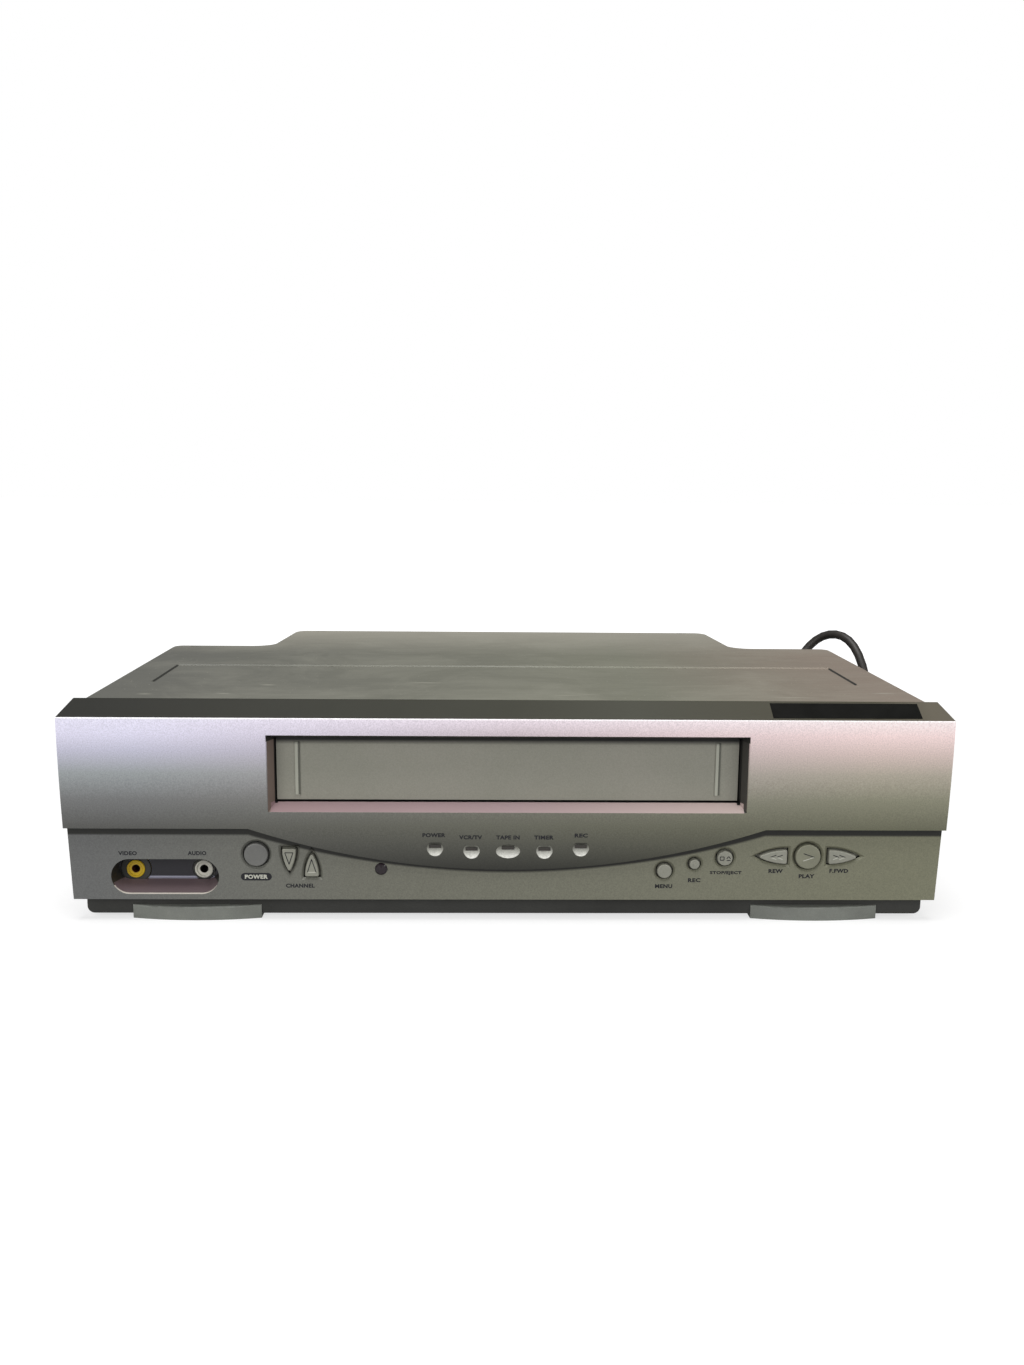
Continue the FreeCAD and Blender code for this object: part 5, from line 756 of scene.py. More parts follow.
class Wardrobe:
    """Every finish on the recorder, by the record's material slot or by node."""

    def __init__(self) -> None:
        """Lists the finishes; each is built once, when first asked for."""
        # What the sprayed caps, the glossy socket inserts and the inks have in common
        cap = {"roughness": 0.42, "metallic": 0.1, "patch_mm": 8, "grain_mm": 0.4, "grain_depth_mm": 0.004}
        insert = {"patch_mm": 4, "grain_depth_mm": 0.004, "coat": 0.2}
        ink = {"roughness": 0.6, "patch_mm": 3, "grain_mm": 0.25, "grain_depth_mm": 0.003}
        self.by_slot = {
            # Sprayed ABS: soft sparkle from aluminium flakes about 0.1 mm across, drawn at 0.5 mm to show
            "silver_plastic": FacePaint("Metallic_paint_on_ABS", "#94948f", "#8a8a84", 0.5, 0.08,
                                        grain_depth_mm=0.004),
            # The same spray on small caps: a satin gleam that softens their edges
            "button_plastic": Finish("Satin_painted_ABS_caps", "#97978b", "#8b8b7f", **cap),
            # Coil-coated steel: an even, fine orange peel about 0.8 mm across
            "cover_paint": CoverPaint("Coil_coated_steel", "#575751", "#52524c", 0.55, patch_mm=70,
                                      grain_mm=0.8),
            # Moulded high-impact styrene: a spark-eroded texture about 0.6 mm across that kills the shine
            "dark_plastic": Finish("Textured_black_styrene", "#3a3a37", "#30302d", 0.62, patch_mm=40,
                                   grain_mm=0.6, grain_depth_mm=0.04),
            # Sprayed styrene: one even, dull tone
            "foot_plastic": Finish("Painted_styrene_feet", "#868982", "#7b7d77", 0.5, 0.08, patch_mm=12),
            # Glossy moulded ABS: a clear highlight on a full colour
            "yellow_plastic": Finish("Yellow_ABS_insert", "#c9a81c", "#b09010", 0.32, **insert),
            "white_plastic": Finish("White_ABS_insert", "#d9d9d2", "#c6c6bd", 0.32, **insert),
            # Moulded acrylic: glassy and nearly black
            "smoked_plastic": Finish("Smoked_acrylic", "#3c3833", "#2a2724", 0.14, patch_mm=6,
                                     grain_mm=1.5, grain_depth_mm=0.002, coat=0.5),
            # Pressed paper laminate: a dull tan board
            "circuit_board": Laminate("Paper_laminate_board", "#8a6a3c", "#7a5c32", 0.55, patch_mm=20),
            # Matt film: hardly any reflection, so the sticker stays black
            "label": Finish("Matt_polyester_film", "#10100e", "#0c0c0a", 0.7, patch_mm=10,
                            grain_mm=0.4, grain_depth_mm=0.004, sheen=0.08),
            # Zinc-plated sheet: rolled, so its patches run along one way
            "steel": Finish("Zinc_plated_steel", "#b2b2ac", "#98988f", 0.36, 0.95, patch_mm=6,
                            grain_mm=0.8, stretch=(1.0, 4.0, 1.0)),
            # Polished steel: nearly a mirror
            "polished_steel": Finish("Polished_stainless_steel", "#c4c4c4", "#a8a8a8", 0.18, 1.0, patch_mm=5,
                                     grain_mm=0.6, grain_depth_mm=0.003),
            # Turned aluminium: the tool's fine rings lie level round each piece
            "aluminium": Finish("Turned_aluminium", "#cfcfd0", "#b4b4b6", 0.26, 1.0, patch_mm=3,
                                grain_mm=0.3, grain_depth_mm=0.008, stretch=(1.0, 1.0, 9.0)),
            # Moulded rubber: dark, with no clear reflection
            "rubber": Finish("Moulded_rubber", "#232321", "#1b1b19", 0.78, patch_mm=9, grain_depth_mm=0.02),
            # Unpigmented nylon: milky and half matt
            "nylon": Finish("Natural_nylon", "#d2cfc2", "#c2bfb0", 0.45, patch_mm=10, grain_mm=0.8),
            # Extruded PVC: a soft, broad highlight along the lead
            "flex": Finish("Extruded_PVC_sleeve", "#2a2622", "#201d1a", 0.5, patch_mm=12,
                           grain_depth_mm=0.02),
            # Stamped brass: warm metal, streaked along the strip that it was cut from
            "brass": Finish("Stamped_brass", "#c8a95e", "#a98c48", 0.28, 1.0, patch_mm=3,
                            grain_mm=0.4, grain_depth_mm=0.006, stretch=(4.0, 1.0, 1.0)),
            # Sleeve shrunk on with heat: glossy, dark blue and faintly wavy
            "capacitor_sleeve": Finish("Shrunk_PVC_sleeve", "#1d2745", "#151c33", 0.34, patch_mm=6,
                                       grain_mm=0.7, coat=0.3),
            # Pad-printed ink: a thin, dull film; the two inks also paint shade and highlights in cut marks
            "print_ink": Finish("Dark_print_and_painted_shade", "#14141a", "#1c1c22", **ink),
            "pale_ink": Finish("Pale_print_and_painted_highlight", "#c4c4b8", "#b4b4a8", **ink),
        }
        self.by_node = {
            "cassette_door": FlapPaint("Metallic_paint_on_flap", "#949287", "#8b8b7f", 0.5, 0.08,
                                       patch_mm=50, grain_depth_mm=0.004),
            # The round power and play caps are duller than the pointed ones
            "power_button": Finish("Satin_painted_power_cap", "#747471", "#6a6a67", **cap),
            "play_button": Finish("Satin_painted_play_cap", "#878775", "#7d7d6c", **cap),
            "front_video_jack": SocketInsert("Yellow_ABS_socket", "#d3b11a", "#bc9a10", 0.35, **insert,
                                             centre=(-154.4, 19.9)),
            "front_audio_jack": SocketInsert("White_ABS_socket", "#d6d4c8", "#c6c4b8", 0.35, **insert,
                                             centre=(-126.2, 19.9), bore="#23221c"),
            # Tinted window of the remote control's receiver: as smooth as glass, with a plum cast
            "sensor_lens": Finish("Infrared_window", "#2a2026", "#1c1519", 0.12, patch_mm=3,
                                  grain_mm=1.0, grain_depth_mm=0.002, coat=0.5),
        }
        self.built: dict[str, bpy.types.Material] = {}

    def material(self, slot: str) -> bpy.types.Material:
        """The material of a slot or a node, built when first asked for.

        Args:
            slot: The slot's or the node's name.

        Returns:
            The material.
        """
        if slot not in self.built:
            self.built[slot] = (self.by_node.get(slot) or self.by_slot[slot]).build()
        return self.built[slot]

    def dress_nodes(self) -> None:
        """Puts the record's finishes on every carried-over node."""
        slots = {entry["node"]: entry["material_slot"] for entry in frame["record"]["subparts"]}
        for label, thing in frame["nodes"].items():
            material = self.material(label if label in self.by_node else slots[label])
            for place in thing.material_slots:
                place.material = material
            LOG.info("dressed %s in %s", label, material.name)

    def dress(self, piece: bpy.types.Object, slot: str) -> None:
        """Gives a new piece the finish of a slot and logs the finish's name.

        Args:
            piece: The piece.
            slot: The finish.
        """
        material = self.material(slot)
        piece.data.materials.append(material)
        LOG.info("made %s in %s", piece.name, material.name)


# Camera and studio


@dataclass
class Studio:
    """The photograph's viewpoint, plain soft lamps and a white floor.

    The eye is in millimetres. A lamp is its name, its place in metres, the length of its sides in metres
    and its power in watts. The floor glows for the camera alone, and less near the recorder, so that it
    stays white and yet keeps the shadow.
    """

    eye: Place = (-10.89, -490.8, 186.14)
    pitch: float = 9.79
    yaw: float = 1.38
    roll: float = 0.54
    focal_pixels: float = 1252.56
    picture_height: float = 1365.0
    sensor: float = 36.0
    nearest: float = 0.01
    aim: Place = (0.0, 0.0, 0.05)
    lamps: tuple = (("lamp_above", (-0.05, -0.3, 1.5), 0.9, 20.0),
                    ("lamp_front_left", (-0.9, -1.5, 0.7), 1.0, 11.0),
                    ("lamp_front_right", (1.1, -1.4, 0.6), 1.0, 8.0))
    fill: float = 0.27
    floor_half: float = 6.0
    floor_colour: str = "#9c9c9c"
    floor_roughness: float = 0.9
    glow_reach: Pair = (0.35, 0.9)
    glow: Pair = (0.68, 1.0)
    tooth_mm: float = 2.5
    tooth_depth_mm: float = 0.02

    def camera(self) -> None:
        """Sets the camera: it looks along yaw and pitch and is rolled about that line."""
        data = bpy.data.cameras.new("camera")
        data.sensor_fit = "VERTICAL"
        data.sensor_height = self.sensor
        data.lens = self.focal_pixels / self.picture_height * self.sensor
        data.clip_start = self.nearest
        pitch, yaw, roll = (math.radians(angle) for angle in (self.pitch, self.yaw, self.roll))
        forward = Vector((math.cos(pitch) * math.sin(yaw), math.cos(pitch) * math.cos(yaw), -math.sin(pitch)))
        right = forward.cross(Vector((0, 0, 1))).normalized()
        up = right.cross(forward)
        turned_right = right * math.cos(roll) + up * math.sin(roll)
        turned_up = up * math.cos(roll) - right * math.sin(roll)
        axes = Matrix((turned_right, turned_up, -forward)).transposed()
        camera = placed("camera", data)
        camera.matrix_world = Matrix.Translation(spot(*self.eye)) @ axes.to_4x4()
        bpy.context.scene.camera = camera

    def lamp(self, name: str, place: Place, size: float, power: float) -> None:
        """Adds a square soft lamp that looks at the recorder's middle.

        Args:
            name: The lamp's name.
            place: Where it hangs, in metres.
            size: Length of its sides in metres.
            power: Watts.
        """
        data = bpy.data.lights.new(name, "AREA")
        data.shape = "SQUARE"
        data.size = size
        data.energy = power
        lamp = placed(name, data)
        lamp.location = place
        lamp.rotation_euler = (Vector(self.aim) - lamp.location).to_track_quat("-Z", "Y").to_euler()

    def world(self) -> None:
        """Adds a soft world that is white to the camera and dim to the recorder."""
        world = bpy.data.worlds.new("studio")
        bpy.context.scene.world = world
        tree = bare_tree(world)
        path = add_node(tree, "LightPath")
        seen = add_node(tree, "Math", {0: path["Is Camera Ray"], 1: path["Is Transmission Ray"]},
                        operation="MAXIMUM")[0]
        strength = add_node(tree, "MapRange", {0: seen, 1: 0.0, 2: 1.0, 3: self.fill, 4: 1.0})[0]
        sky = add_node(tree, "Background", {"Color": (1, 1, 1, 1), "Strength": strength})[0]
        add_node(tree, "OutputWorld", {"Surface": sky})

    def floor(self) -> None:
        """Lays the white board that the recorder stands on."""
        reach = self.floor_half
        mesh = bpy.data.meshes.new("studio_floor")
        mesh.from_pydata([(-reach, -reach, 0), (reach, -reach, 0), (reach, reach, 0), (-reach, reach, 0)],
                         [], [(0, 1, 2, 3)])
        placed("studio_floor", mesh)
        # Painted board: quite matt, with the fine tooth of a roller about 2.5 mm across
        material = bpy.data.materials.new("White_painted_board")
        tree = bare_tree(material)
        path = add_node(tree, "LightPath")
        where = add_node(tree, "TexCoord")["Object"]
        away = add_node(tree, "VectorMath", {0: where}, operation="LENGTH")["Value"]
        (near, far), (shaded, white) = self.glow_reach, self.glow
        lit = add_node(tree, "MapRange", {0: away, 1: near, 2: far, 3: shaded, 4: white})[0]
        glow = add_node(tree, "Math", {0: path["Is Camera Ray"], 1: lit}, operation="MULTIPLY")[0]
        tooth = add_node(tree, "TexNoise", {"Vector": where, "Scale": 1 / (self.tooth_mm * MM)})[0]
        relief = add_node(tree, "Bump", {"Height": tooth, "Distance": self.tooth_depth_mm * MM})[0]
        surface = add_node(tree, "BsdfPrincipled",
                           {"Base Color": self.floor_colour, "Roughness": self.floor_roughness,
                            "Normal": relief, "Emission Color": (1, 1, 1, 1), "Emission Strength": glow})
        add_node(tree, "OutputMaterial", {"Surface": surface[0]})
        mesh.materials.append(material)

    def build(self) -> None:
        """Makes the camera, the lamps, the world and the floor."""
        bpy.context.scene.view_settings.view_transform = "Standard"
        self.camera()
        for lamp in self.lamps:
            self.lamp(*lamp)
        self.world()
        self.floor()
        LOG.info("studio is ready")


# Mains lead


@dataclass
class MainsLead:
    """The lead: it leaves the right rear wall, arches over the corner and lies in a coil behind it.

    The length is in metres and the other sizes are in millimetres, with y behind the front plane.
    """

    width: float = 4.8
    length: float = 1.63
    lead: tuple = ((160.0, 187.0, 60.0), (160.0, 214.0, 60.0), (181.0, 221.0, 94.0), (198.0, 196.0, 94.0),
                   (203.0, 175.5, 50.0), (203.0, 175.5, 8.2), (203.0, 208.2, 8.2))
    tail: tuple = ((161.2, 250.0, 2.8), (146.0, 250.0, 2.8), (129.0, 251.0, 7.6), (113.0, 253.5, 7.6))
    centre: Pair = (166.0, 213.0)
    outer: float = 37.0
    pitch: float = 5.5
    low: float = 2.8
    layer: float = 5.4
    turns_per_layer: int = 4
    points_per_half_turn: int = 8
    round_steps: int = 5
    spline_steps: int = 6
    spline_order: int = 3

    def coil(self) -> np.ndarray:
        """Points of the coil: half circles of shrinking and then growing radius, end to end.

        Each half circle of radius r runs from angle 0 to 180 degrees about its own middle, on alternate
        sides, and the middle one sinks from the upper layer to the lower. The last stops half way. The
        points stand out by the little that the spline draws them in.

        Returns:
            Rows of x, y behind the front plane, and z in millimetres.
        """
        halves = self.turns_per_layer * 2
        upper = self.low + self.layer
        shrinking = [(self.outer - self.pitch / 2 * n, upper, upper) for n in range(halves)]
        growing = [(radius, self.low, self.low) for radius, _, _ in reversed(shrinking)]
        plan = shrinking + [(self.outer - self.pitch / 2 * halves, upper, self.low)] + growing
        part = (np.arange(self.points_per_half_turn) + 0.5) / self.points_per_half_turn
        angle = np.pi * part
        stand_out = 1 / math.cos(math.pi / self.points_per_half_turn / 2)
        x, side, rows = self.centre[0] + self.outer, 1, []
        for number, (radius, start_z, end_z) in enumerate(plan):
            use = angle < (np.pi / 2 if number == len(plan) - 1 else np.pi)
            middle = x - side * radius
            rows.append(np.column_stack([middle + side * radius * stand_out * np.cos(angle[use]),
                                         self.centre[1] + side * radius * stand_out * np.sin(angle[use]),
                                         start_z + (end_z - start_z) * part[use]]))
            x, side = middle - side * radius, -side
        return np.vstack(rows)

    def build(self, wardrobe: Wardrobe) -> None:
        """A point's radius scales the spline's round section, which is one metre in radius, and keeps the
        curve's box close.

        Args:
            wardrobe: The finishes.
        """
        route = np.vstack([np.array(self.lead), self.coil(), np.array(self.tail)])
        points = np.column_stack([route[:, 0], route[:, 1] + FRONT, route[:, 2]]) * MM
        curve = bpy.data.curves.new("mains_lead", "CURVE")
        curve.dimensions = "3D"
        curve.bevel_depth = 1.0
        curve.bevel_resolution = self.round_steps
        curve.resolution_u = self.spline_steps
        curve.use_fill_caps = True
        spline = curve.splines.new("NURBS")
        spline.points.add(len(points) - 1)
        spline.points.foreach_set("co", np.column_stack([points, np.ones(len(points))]).ravel())
        spline.points.foreach_set("radius", np.full(len(points), self.width / 2 * MM))
        spline.order_u = self.spline_order
        spline.use_endpoint_u = True
        lead = placed("mains_lead", curve)
        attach(lead, CASE)
        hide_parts("mains_cord", "cord_coil")
        wardrobe.dress(lead, "flex")


# Lettering and marks


class Panel(Enum):
    """The two faces of the front that carry lettering."""

    CROWN = "crown"
    LOWER = "lower"


class Ink(Enum):
    """The two inks, each by its finish in the wardrobe. Besides print, the dark one paints shade in cut marks
    and screw recesses, and the pale one paints highlights on cut marks.
    """

    DARK = "print_ink"
    PALE = "pale_ink"


@dataclass(frozen=True)
class Word:
    """A printed word: its text, the middle of its line, its width and the face that carries it."""

    name: str
    text: str
    x: float
    z: float
    width: float
    panel: Panel
    height: float = 1.75
    ink: Ink = Ink.DARK


@dataclass
class Lettering:
    """Plain function words printed on the front.

    Each word's print stands a little proud of its face and reaches a little into it. Pale print lies on the
    dark pill, so it stands higher. The pill is its middle in x and z, its width and its height.
    """

    lower_face: float = 4.2
    proud: float = 0.03
    pale_lift: float = 0.04
    sunk: float = 0.02
    letter_extrude: float = 0.01
    letter_weight: float = 0.045
    letter_spacing: float = 1.08
    letter_steps: int = 3
    words: tuple = (
        Word("word_video", "VIDEO", -155.2, 29.2, 7.6, Panel.LOWER),
        Word("word_audio", "AUDIO", -127.0, 29.3, 7.6, Panel.LOWER),
        Word("word_channel", "CHANNEL", -85.2, 15.5, 11.8, Panel.LOWER),
        Word("word_menu", "MENU", 64.6, 15.5, 7.2, Panel.LOWER),
        Word("word_record", "REC", 77.2, 18.1, 5.2, Panel.LOWER),
        Word("word_stop_eject", "STOP/EJECT", 90.2, 21.2, 13.2, Panel.LOWER),
        Word("word_rewind", "REW", 110.9, 22.1, 6.0, Panel.LOWER),
        Word("word_play", "PLAY", 123.9, 19.9, 6.6, Panel.LOWER),
        Word("word_forward", "F.FWD", 137.2, 22.2, 7.8, Panel.LOWER),
        Word("word_power_lamp", "POWER", -30.2, 38.0, 9.4, Panel.CROWN),
        Word("word_television_lamp", "VCR/TV", -15.3, 37.1, 9.4, Panel.CROWN),
        Word("word_tape_lamp", "TAPE IN", -0.1, 37.1, 9.6, Panel.CROWN),
        Word("word_timer_lamp", "TIMER", 14.6, 37.1, 8.0, Panel.CROWN),
        Word("word_record_lamp", "REC", 29.8, 38.0, 5.4, Panel.CROWN),
        Word("word_power", "POWER", -103.1, 19.3, 9.4, Panel.LOWER, 1.8, Ink.PALE),
    )
    pill: tuple[float, float, float, float] = (-103.1, 19.3, 12.6, 3.2)
    pill_thickness: float = 0.05
    pill_arc_points: int = 16

    def depth_at(self, z: np.ndarray, panel: Panel) -> np.ndarray:
        """Depth of a face. The crown's is the square of the height from its crest, over its diameter.

        Args:
            z: Heights in millimetres.
            panel: The face.

        Returns:
            Millimetres behind the front plane.
        """
        if panel is Panel.LOWER:
            return np.full_like(z, self.lower_face)
        return (z - CREST_HEIGHT) ** 2 / (2 * CROWN_RADIUS)

    def word(self, word: Word, wardrobe: Wardrobe) -> None:
        """Makes one word: its letters are scaled to a width and height and laid on the face.

        Args:
            word: What to print.
            wardrobe: The finishes.
        """
        curve = bpy.data.curves.new(word.name, "FONT")
        curve.body = word.text
        curve.extrude = self.letter_extrude
        curve.offset = self.letter_weight
        curve.space_character = self.letter_spacing
        curve.resolution_u = self.letter_steps
        text = placed(word.name + "_curve", curve)
        bpy.context.view_layer.update()
        mesh = bpy.data.meshes.new_from_object(text)
        mesh.name = word.name
        bpy.data.objects.remove(text)
        points = np.empty(len(mesh.vertices) * 3)
        mesh.vertices.foreach_get("co", points)
        points = points.reshape(-1, 3)
        low, high = points.min(axis=0), points.max(axis=0)
        flat = (points[:, :2] - (low[:2] + high[:2]) / 2) / (high[:2] - low[:2])
        x = word.x + flat[:, 0] * word.width
        z = word.z + flat[:, 1] * word.height
        lift = self.proud + (self.pale_lift if word.ink is Ink.PALE else 0.0)
        y = FRONT + self.depth_at(z, word.panel) - np.where(points[:, 2] > 0, lift, -self.sunk)
        mesh.vertices.foreach_set("co", (np.column_stack([x, y, z]) * MM).ravel())
        mesh.update()
        piece = placed(word.name, mesh)
        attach(piece, CASE)
        wardrobe.dress(piece, word.ink.value)

    def build(self, wardrobe: Wardrobe) -> None:
        """Prints the dark pill, two half circles joined by straight lines, and all the words.

        Args:
            wardrobe: The finishes.
        """
        x, z, width, height = self.pill
        angle = np.linspace(-np.pi / 2, np.pi / 2, self.pill_arc_points)
        reach = width / 2 - height / 2
        half = np.column_stack([reach + height / 2 * np.cos(angle), height / 2 * np.sin(angle)])
        plate = flat_plate(np.vstack([half, -half]) + [x, z], self.lower_face - self.proud,
                           self.pill_thickness)
        wardrobe.dress(finished_piece("power_pill", *plate), Ink.DARK.value)
        for word in self.words:
            self.word(word, wardrobe)


@dataclass
class CapMarks:
    """Symbols cut into the button caps, drawn in ink: strokes that face down are painted shade, and those that
    face up are painted highlight.

    A wind button is its name, the half height of its chevrons, and each one's middle and reach. A channel
    button is its name, its triangle's middle, the heights of its base and tip, and its half width. The
    other marks are points of (x, z).
    """

    cap_front: float = 3.3
    line: float = 0.34
    depth: float = 0.08
    wind_z: float = 28.3
    wind: tuple = (("rewind", 0.95, ((109.5, -1.25), (112.1, -1.25))),
                   ("fast_forward", 0.95, ((135.5, 1.25), (138.1, 1.25))),
                   ("play", 1.55, ((124.3, 2.3),)))
    channel: tuple = (("channel_down", -89.5, 29.8, 24.9, 1.65), ("channel_up", -80.3, 21.5, 27.0, 1.75))
    stop_box: tuple = ((87.5, 27.0), (89.1, 27.0), (89.1, 28.4), (87.5, 28.4))
    eject_roof: tuple = ((90.2, 27.6), (91.0, 28.6), (91.8, 27.6))
    eject_bar: tuple = ((90.2, 26.9), (91.8, 26.9))

    def stroke(self, start: Pair, end: Pair) -> np.ndarray:
        """A straight stroke: half its width to either side of the line between two points.

        Args:
            start: The first point, as (x, z).
            end: The second.

        Returns:
            Its four corners, counter-clockwise.
        """
        begin, finish = np.array(start), np.array(end)
        along = (finish - begin) / np.linalg.norm(finish - begin)
        side = np.array([-along[1], along[0]]) * self.line / 2
        return np.array([begin - side, finish - side, finish + side, begin + side])

    def chevron(self, x: float, reach: float, half: float) -> tuple[np.ndarray, np.ndarray]:
        """A chevron of two strokes that meet in a tip.

        Args:
            x: Its middle.
            reach: How far its tip is from the middle, negative to the left.
            half: Half its height.

        Returns:
            Its upper and its lower stroke.
        """
        tip = (x + reach, self.wind_z)
        return (self.stroke((x - reach, self.wind_z + half), tip),
                self.stroke((x - reach, self.wind_z - half), tip))

    def mark(self, wardrobe: Wardrobe, name: str, strokes: list[np.ndarray], ink: Ink, button: str) -> None:
        """Makes some strokes of one cap as one piece.

        Args:
            wardrobe: The finishes.
            name: The piece's name.
            strokes: Outlines, counter-clockwise.
            ink: What fills them.
            button: The button that carries them.
        """
        points, faces, count = [], [], 0
        for outline in strokes:
            some, shape = flat_plate(outline, self.cap_front - self.depth / 2, self.depth)
            points.append(some)
            faces += [[number + count for number in face] for face in shape]
            count += len(some)
        piece = finished_piece(name, np.vstack(points), faces, f"{button}_button_body")
        wardrobe.dress(piece, ink.value)

    def build(self, wardrobe: Wardrobe) -> None:
        """Marks the wind, play, channel and stop caps.

        Args:
            wardrobe: The finishes.
        """
        for button, half, places in self.wind:
            pairs = [self.chevron(x, reach, half) for x, reach in places]
            # Upper chevron strokes face down and get painted shade; lower ones face up and get a painted
            # highlight
            self.mark(wardrobe, f"mark_{button}_upper", [upper for upper, _ in pairs], Ink.DARK, button)
            self.mark(wardrobe, f"mark_{button}_lower", [lower for _, lower in pairs], Ink.PALE, button)
        for button, x, base, tip, half in self.channel:
            left, right = (x - half, base), (x + half, base)
            sides = [self.stroke(corner, (x, tip)) for corner in (left, right)]
            # A triangle's sides get painted shade; its base is painted shade on the down button and a painted
            # highlight on the up
            level = Ink.DARK if tip < base else Ink.PALE
            self.mark(wardrobe, f"mark_{button}_sides", sides, Ink.DARK, button)
            self.mark(wardrobe, f"mark_{button}_base", [self.stroke(left, right)], level, button)
        box = [self.stroke(*pair) for pair in zip(self.stop_box, self.stop_box[1:] + self.stop_box[:1])]
        left, top, right = self.eject_roof
        lid = [self.stroke(left, top), self.stroke(right, top), self.stroke(*self.eject_bar)]
        # The stop and eject symbol is all dark ink: painted shade in its cut
        self.mark(wardrobe, "mark_stop_eject", box + lid, Ink.DARK, "stop_eject")


# Sockets and screws


@dataclass(frozen=True)
class Collar:
    """A collar's inner and outer radius, and how far it stands out along Y, negative towards the front."""

    inner: float
    outer: float
    rise: float


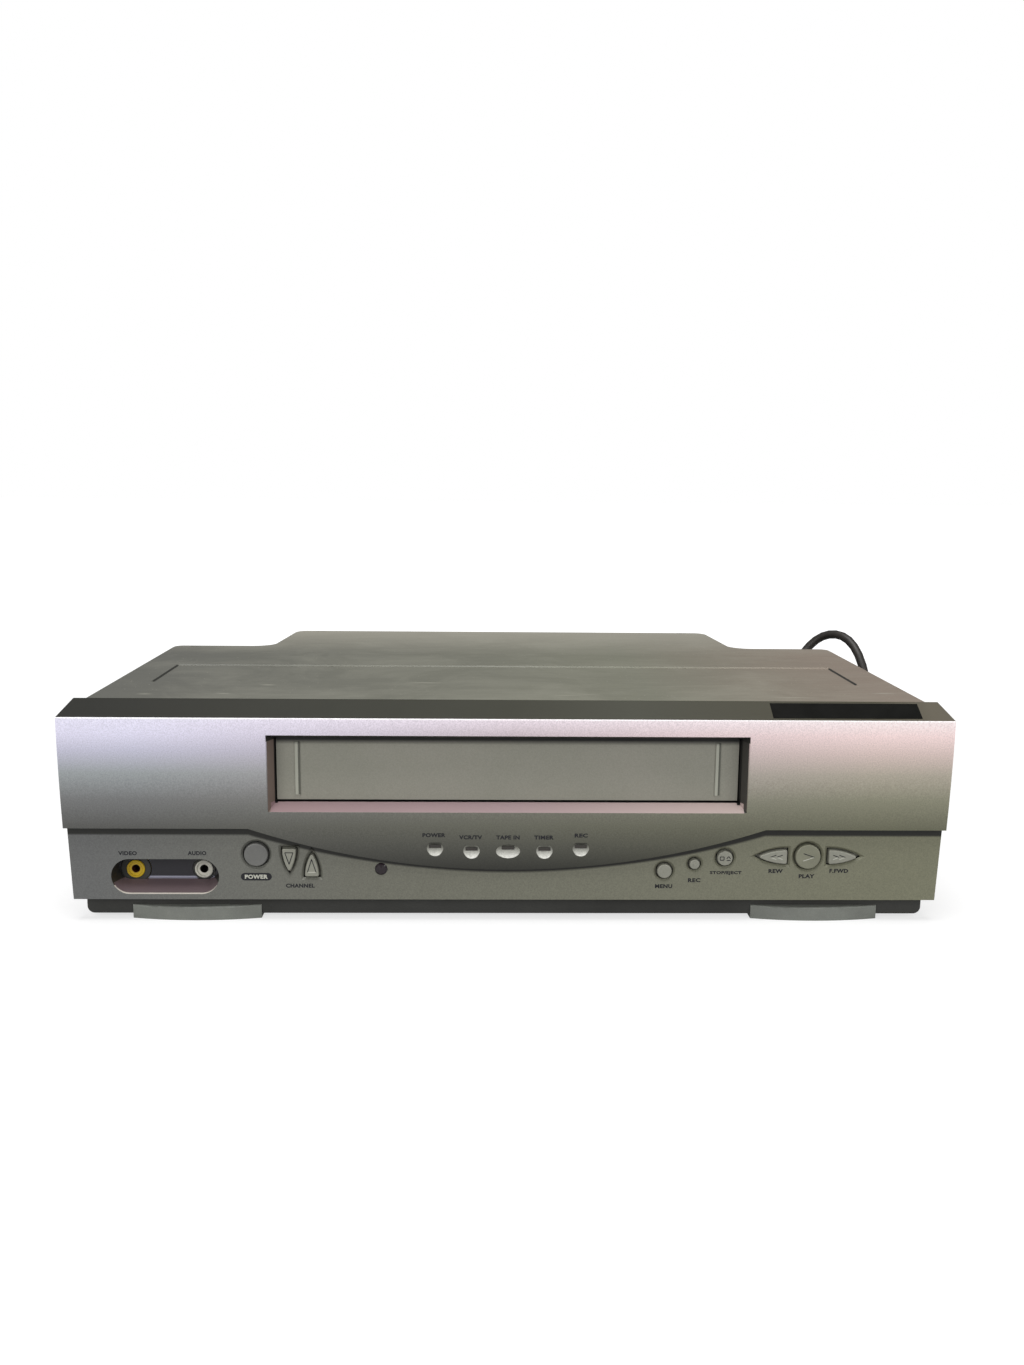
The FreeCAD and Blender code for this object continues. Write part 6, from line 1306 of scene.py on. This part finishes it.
@dataclass
class Sockets:
    """Trim on the sockets: metal collars and coloured rings at the rear, and threads on the aerial sockets.

    A front socket is its name, its colour, its middle and the radius of the hole that it stands in.
    """

    front_face: float = 12.7
    front_places: tuple = (("video", "yellow_plastic", -154.4, 6.1), ("audio", "white_plastic", -126.2, 4.6))
    front_z: float = 19.9
    front_rim: Collar = Collar(2.9, 3.75, -0.7)
    surround_sunk: float = 0.25
    surround_inner: float = 3.8
    surround_rise: float = -0.35
    rear_colours: tuple = ("white_plastic", "yellow_plastic", "white_plastic", "yellow_plastic")
    rear_x: float = -160.0
    rear_low_z: float = 22.0
    rear_pitch: float = 14.0
    rear_end: float = 170.5
    rear_ring: Collar = Collar(1.75, 3.7, 0.35)
    rear_collar: Collar = Collar(3.72, 4.35, 0.5)
    collar_root: float = 0.2
    collar_rounding: float = 0.3
    aerial_count: int = 2
    aerial_x: float = -139.0
    aerial_low_z: float = 30.0
    aerial_pitch: float = 21.0
    aerial_start: float = 162.6
    aerial_end: float = 170.6
    aerial_radius: float = 4.75
    thread_pitch: float = 0.8
    thread_root: float = 0.12
    thread_height: float = 0.3
    thread_half: float = 0.34
    thread_fade: float = 1.5
    thread_steps: int = 24

    def collar(self, wardrobe: Wardrobe, name: str, shape: Collar, centre: Place, finish: str) -> None:
        """Makes a rounded collar: a closed section turned about the socket's line.

        Args:
            wardrobe: The finishes.
            name: The piece's name.
            shape: Its radii and rise.
            centre: The socket's middle, on the face that the collar stands on.
            finish: Its finish.
        """
        inner, outer, rise = shape.inner, shape.outer, shape.rise
        soft = min(outer - inner, abs(rise)) * self.collar_rounding
        sign = 1 if rise > 0 else -1
        root = -sign * self.collar_root
        profile = np.array([[inner, root], [outer, root], [outer, rise - sign * soft],
                            [outer - soft, rise], [inner + soft, rise], [inner, rise - sign * soft]])
        wardrobe.dress(finished_piece(name, *lathe(profile, centre)), finish)

    def thread(self, wardrobe: Wardrobe, name: str, x: float, z: float) -> None:
        """Makes a screw thread: a V section carried along a helix on the socket's nose.

        At an angle a the section stands at radius r, and its reach is the start plus pitch times a over a
        full turn; it dies away at both ends.

        Args:
            wardrobe: The finishes.
            name: The piece's name.
            x: The socket's middle.
            z: The socket's middle.
        """
        turns = (self.aerial_end - self.aerial_start) / self.thread_pitch
        steps = int(turns * self.thread_steps)
        angle = np.linspace(0, turns * 2 * np.pi, steps)[:, None]
        fade = np.clip(np.minimum(angle, angle[-1] - angle) / self.thread_fade, 0, 1)
        section = np.array([[-self.thread_root, -self.thread_half], [self.thread_height, 0.0],
                            [-self.thread_root, self.thread_half]])
        radius = self.aerial_radius + np.where(section[:, 0] > 0, section[:, 0] * fade, section[:, 0])
        reach = self.aerial_start + self.thread_pitch * angle / (2 * np.pi) + section[:, 1]
        points = np.stack([x + radius * np.cos(angle), FRONT + reach, z + radius * np.sin(angle)], axis=-1)
        ends = [[0, 1, 2], [3 * steps - 1, 3 * steps - 2, 3 * steps - 3]]
        faces = ring_faces(steps, len(section), False) + ends
        wardrobe.dress(finished_piece(name, points.reshape(-1, 3) * MM, faces), "polished_steel")

    def build(self, wardrobe: Wardrobe) -> None:
        """Makes every collar, ring and thread.

        Args:
            wardrobe: The finishes.
        """
        for name, colour, x, hole in self.front_places:
            place = (x, self.front_face, self.front_z)
            self.collar(wardrobe, f"front_{name}_rim", self.front_rim, place, f"front_{name}_jack")
            # A dark ring fills the hole round each front socket: painted shade in the gap
            place = (x, self.front_face + self.surround_sunk, self.front_z)
            surround = Collar(self.surround_inner, hole, self.surround_rise)
            self.collar(wardrobe, f"front_{name}_surround", surround, place, "dark_plastic")
        for number, colour in enumerate(self.rear_colours):
            place = (self.rear_x, self.rear_end, self.rear_low_z + self.rear_pitch * number)
            self.collar(wardrobe, f"rear_ring_{number + 1}", self.rear_ring, place, colour)
            self.collar(wardrobe, f"rear_collar_{number + 1}", self.rear_collar, place, "polished_steel")
        for number in range(self.aerial_count):
            self.thread(wardrobe, f"aerial_thread_{number + 1}", self.aerial_x,
                        self.aerial_low_z + self.aerial_pitch * number)


@dataclass
class ScrewMarks:
    """Crossed driver recesses in the heads of the four cover screws, drawn as dark crosses of painted shade.

    A place is x and the head's depth. Each cross is turned further than the last, as screws come to rest.
    """

    level: float = 86.4
    places: tuple = ((-160.0, 165.0), (160.0, 165.0), (-103.0, 227.0), (103.0, 227.0))
    half_length: float = 2.1
    half_width: float = 0.45
    first_turn: float = 17.0
    next_turn: float = 31.0
    sunk: float = 0.05
    thickness: float = 0.08

    def build(self, wardrobe: Wardrobe) -> None:
        """Makes one cross of twelve corners on each head.

        Args:
            wardrobe: The finishes.
        """
        a, b = self.half_length, self.half_width
        cross = np.array([[a, -b], [a, b], [b, b], [b, a], [-b, a], [-b, b], [-a, b], [-a, -b], [-b, -b],
                          [-b, -a], [b, -a], [b, -b]])
        for number, (x, rear) in enumerate(self.places):
            turn = math.radians(self.first_turn + self.next_turn * number)
            spin = np.array([[math.cos(turn), math.sin(turn)], [-math.sin(turn), math.cos(turn)]])
            plate = flat_plate(cross @ spin + [x, self.level], rear - self.sunk, self.thickness)
            piece = finished_piece(f"screw_cross_{number + 1}", *plate)
            wardrobe.dress(piece, Ink.DARK.value)


def main() -> None:
    """Builds everything in order."""
    logging.basicConfig(level=logging.INFO, format="%(name)s: %(message)s")
    wardrobe = Wardrobe()
    Studio().build()
    MainsLead().build(wardrobe)
    wardrobe.dress_nodes()
    for trim in (Lettering(), CapMarks(), Sockets(), ScrewMarks()):
        trim.build(wardrobe)
    bpy.context.view_layer.update()


if __name__ == "__main__":
    main()
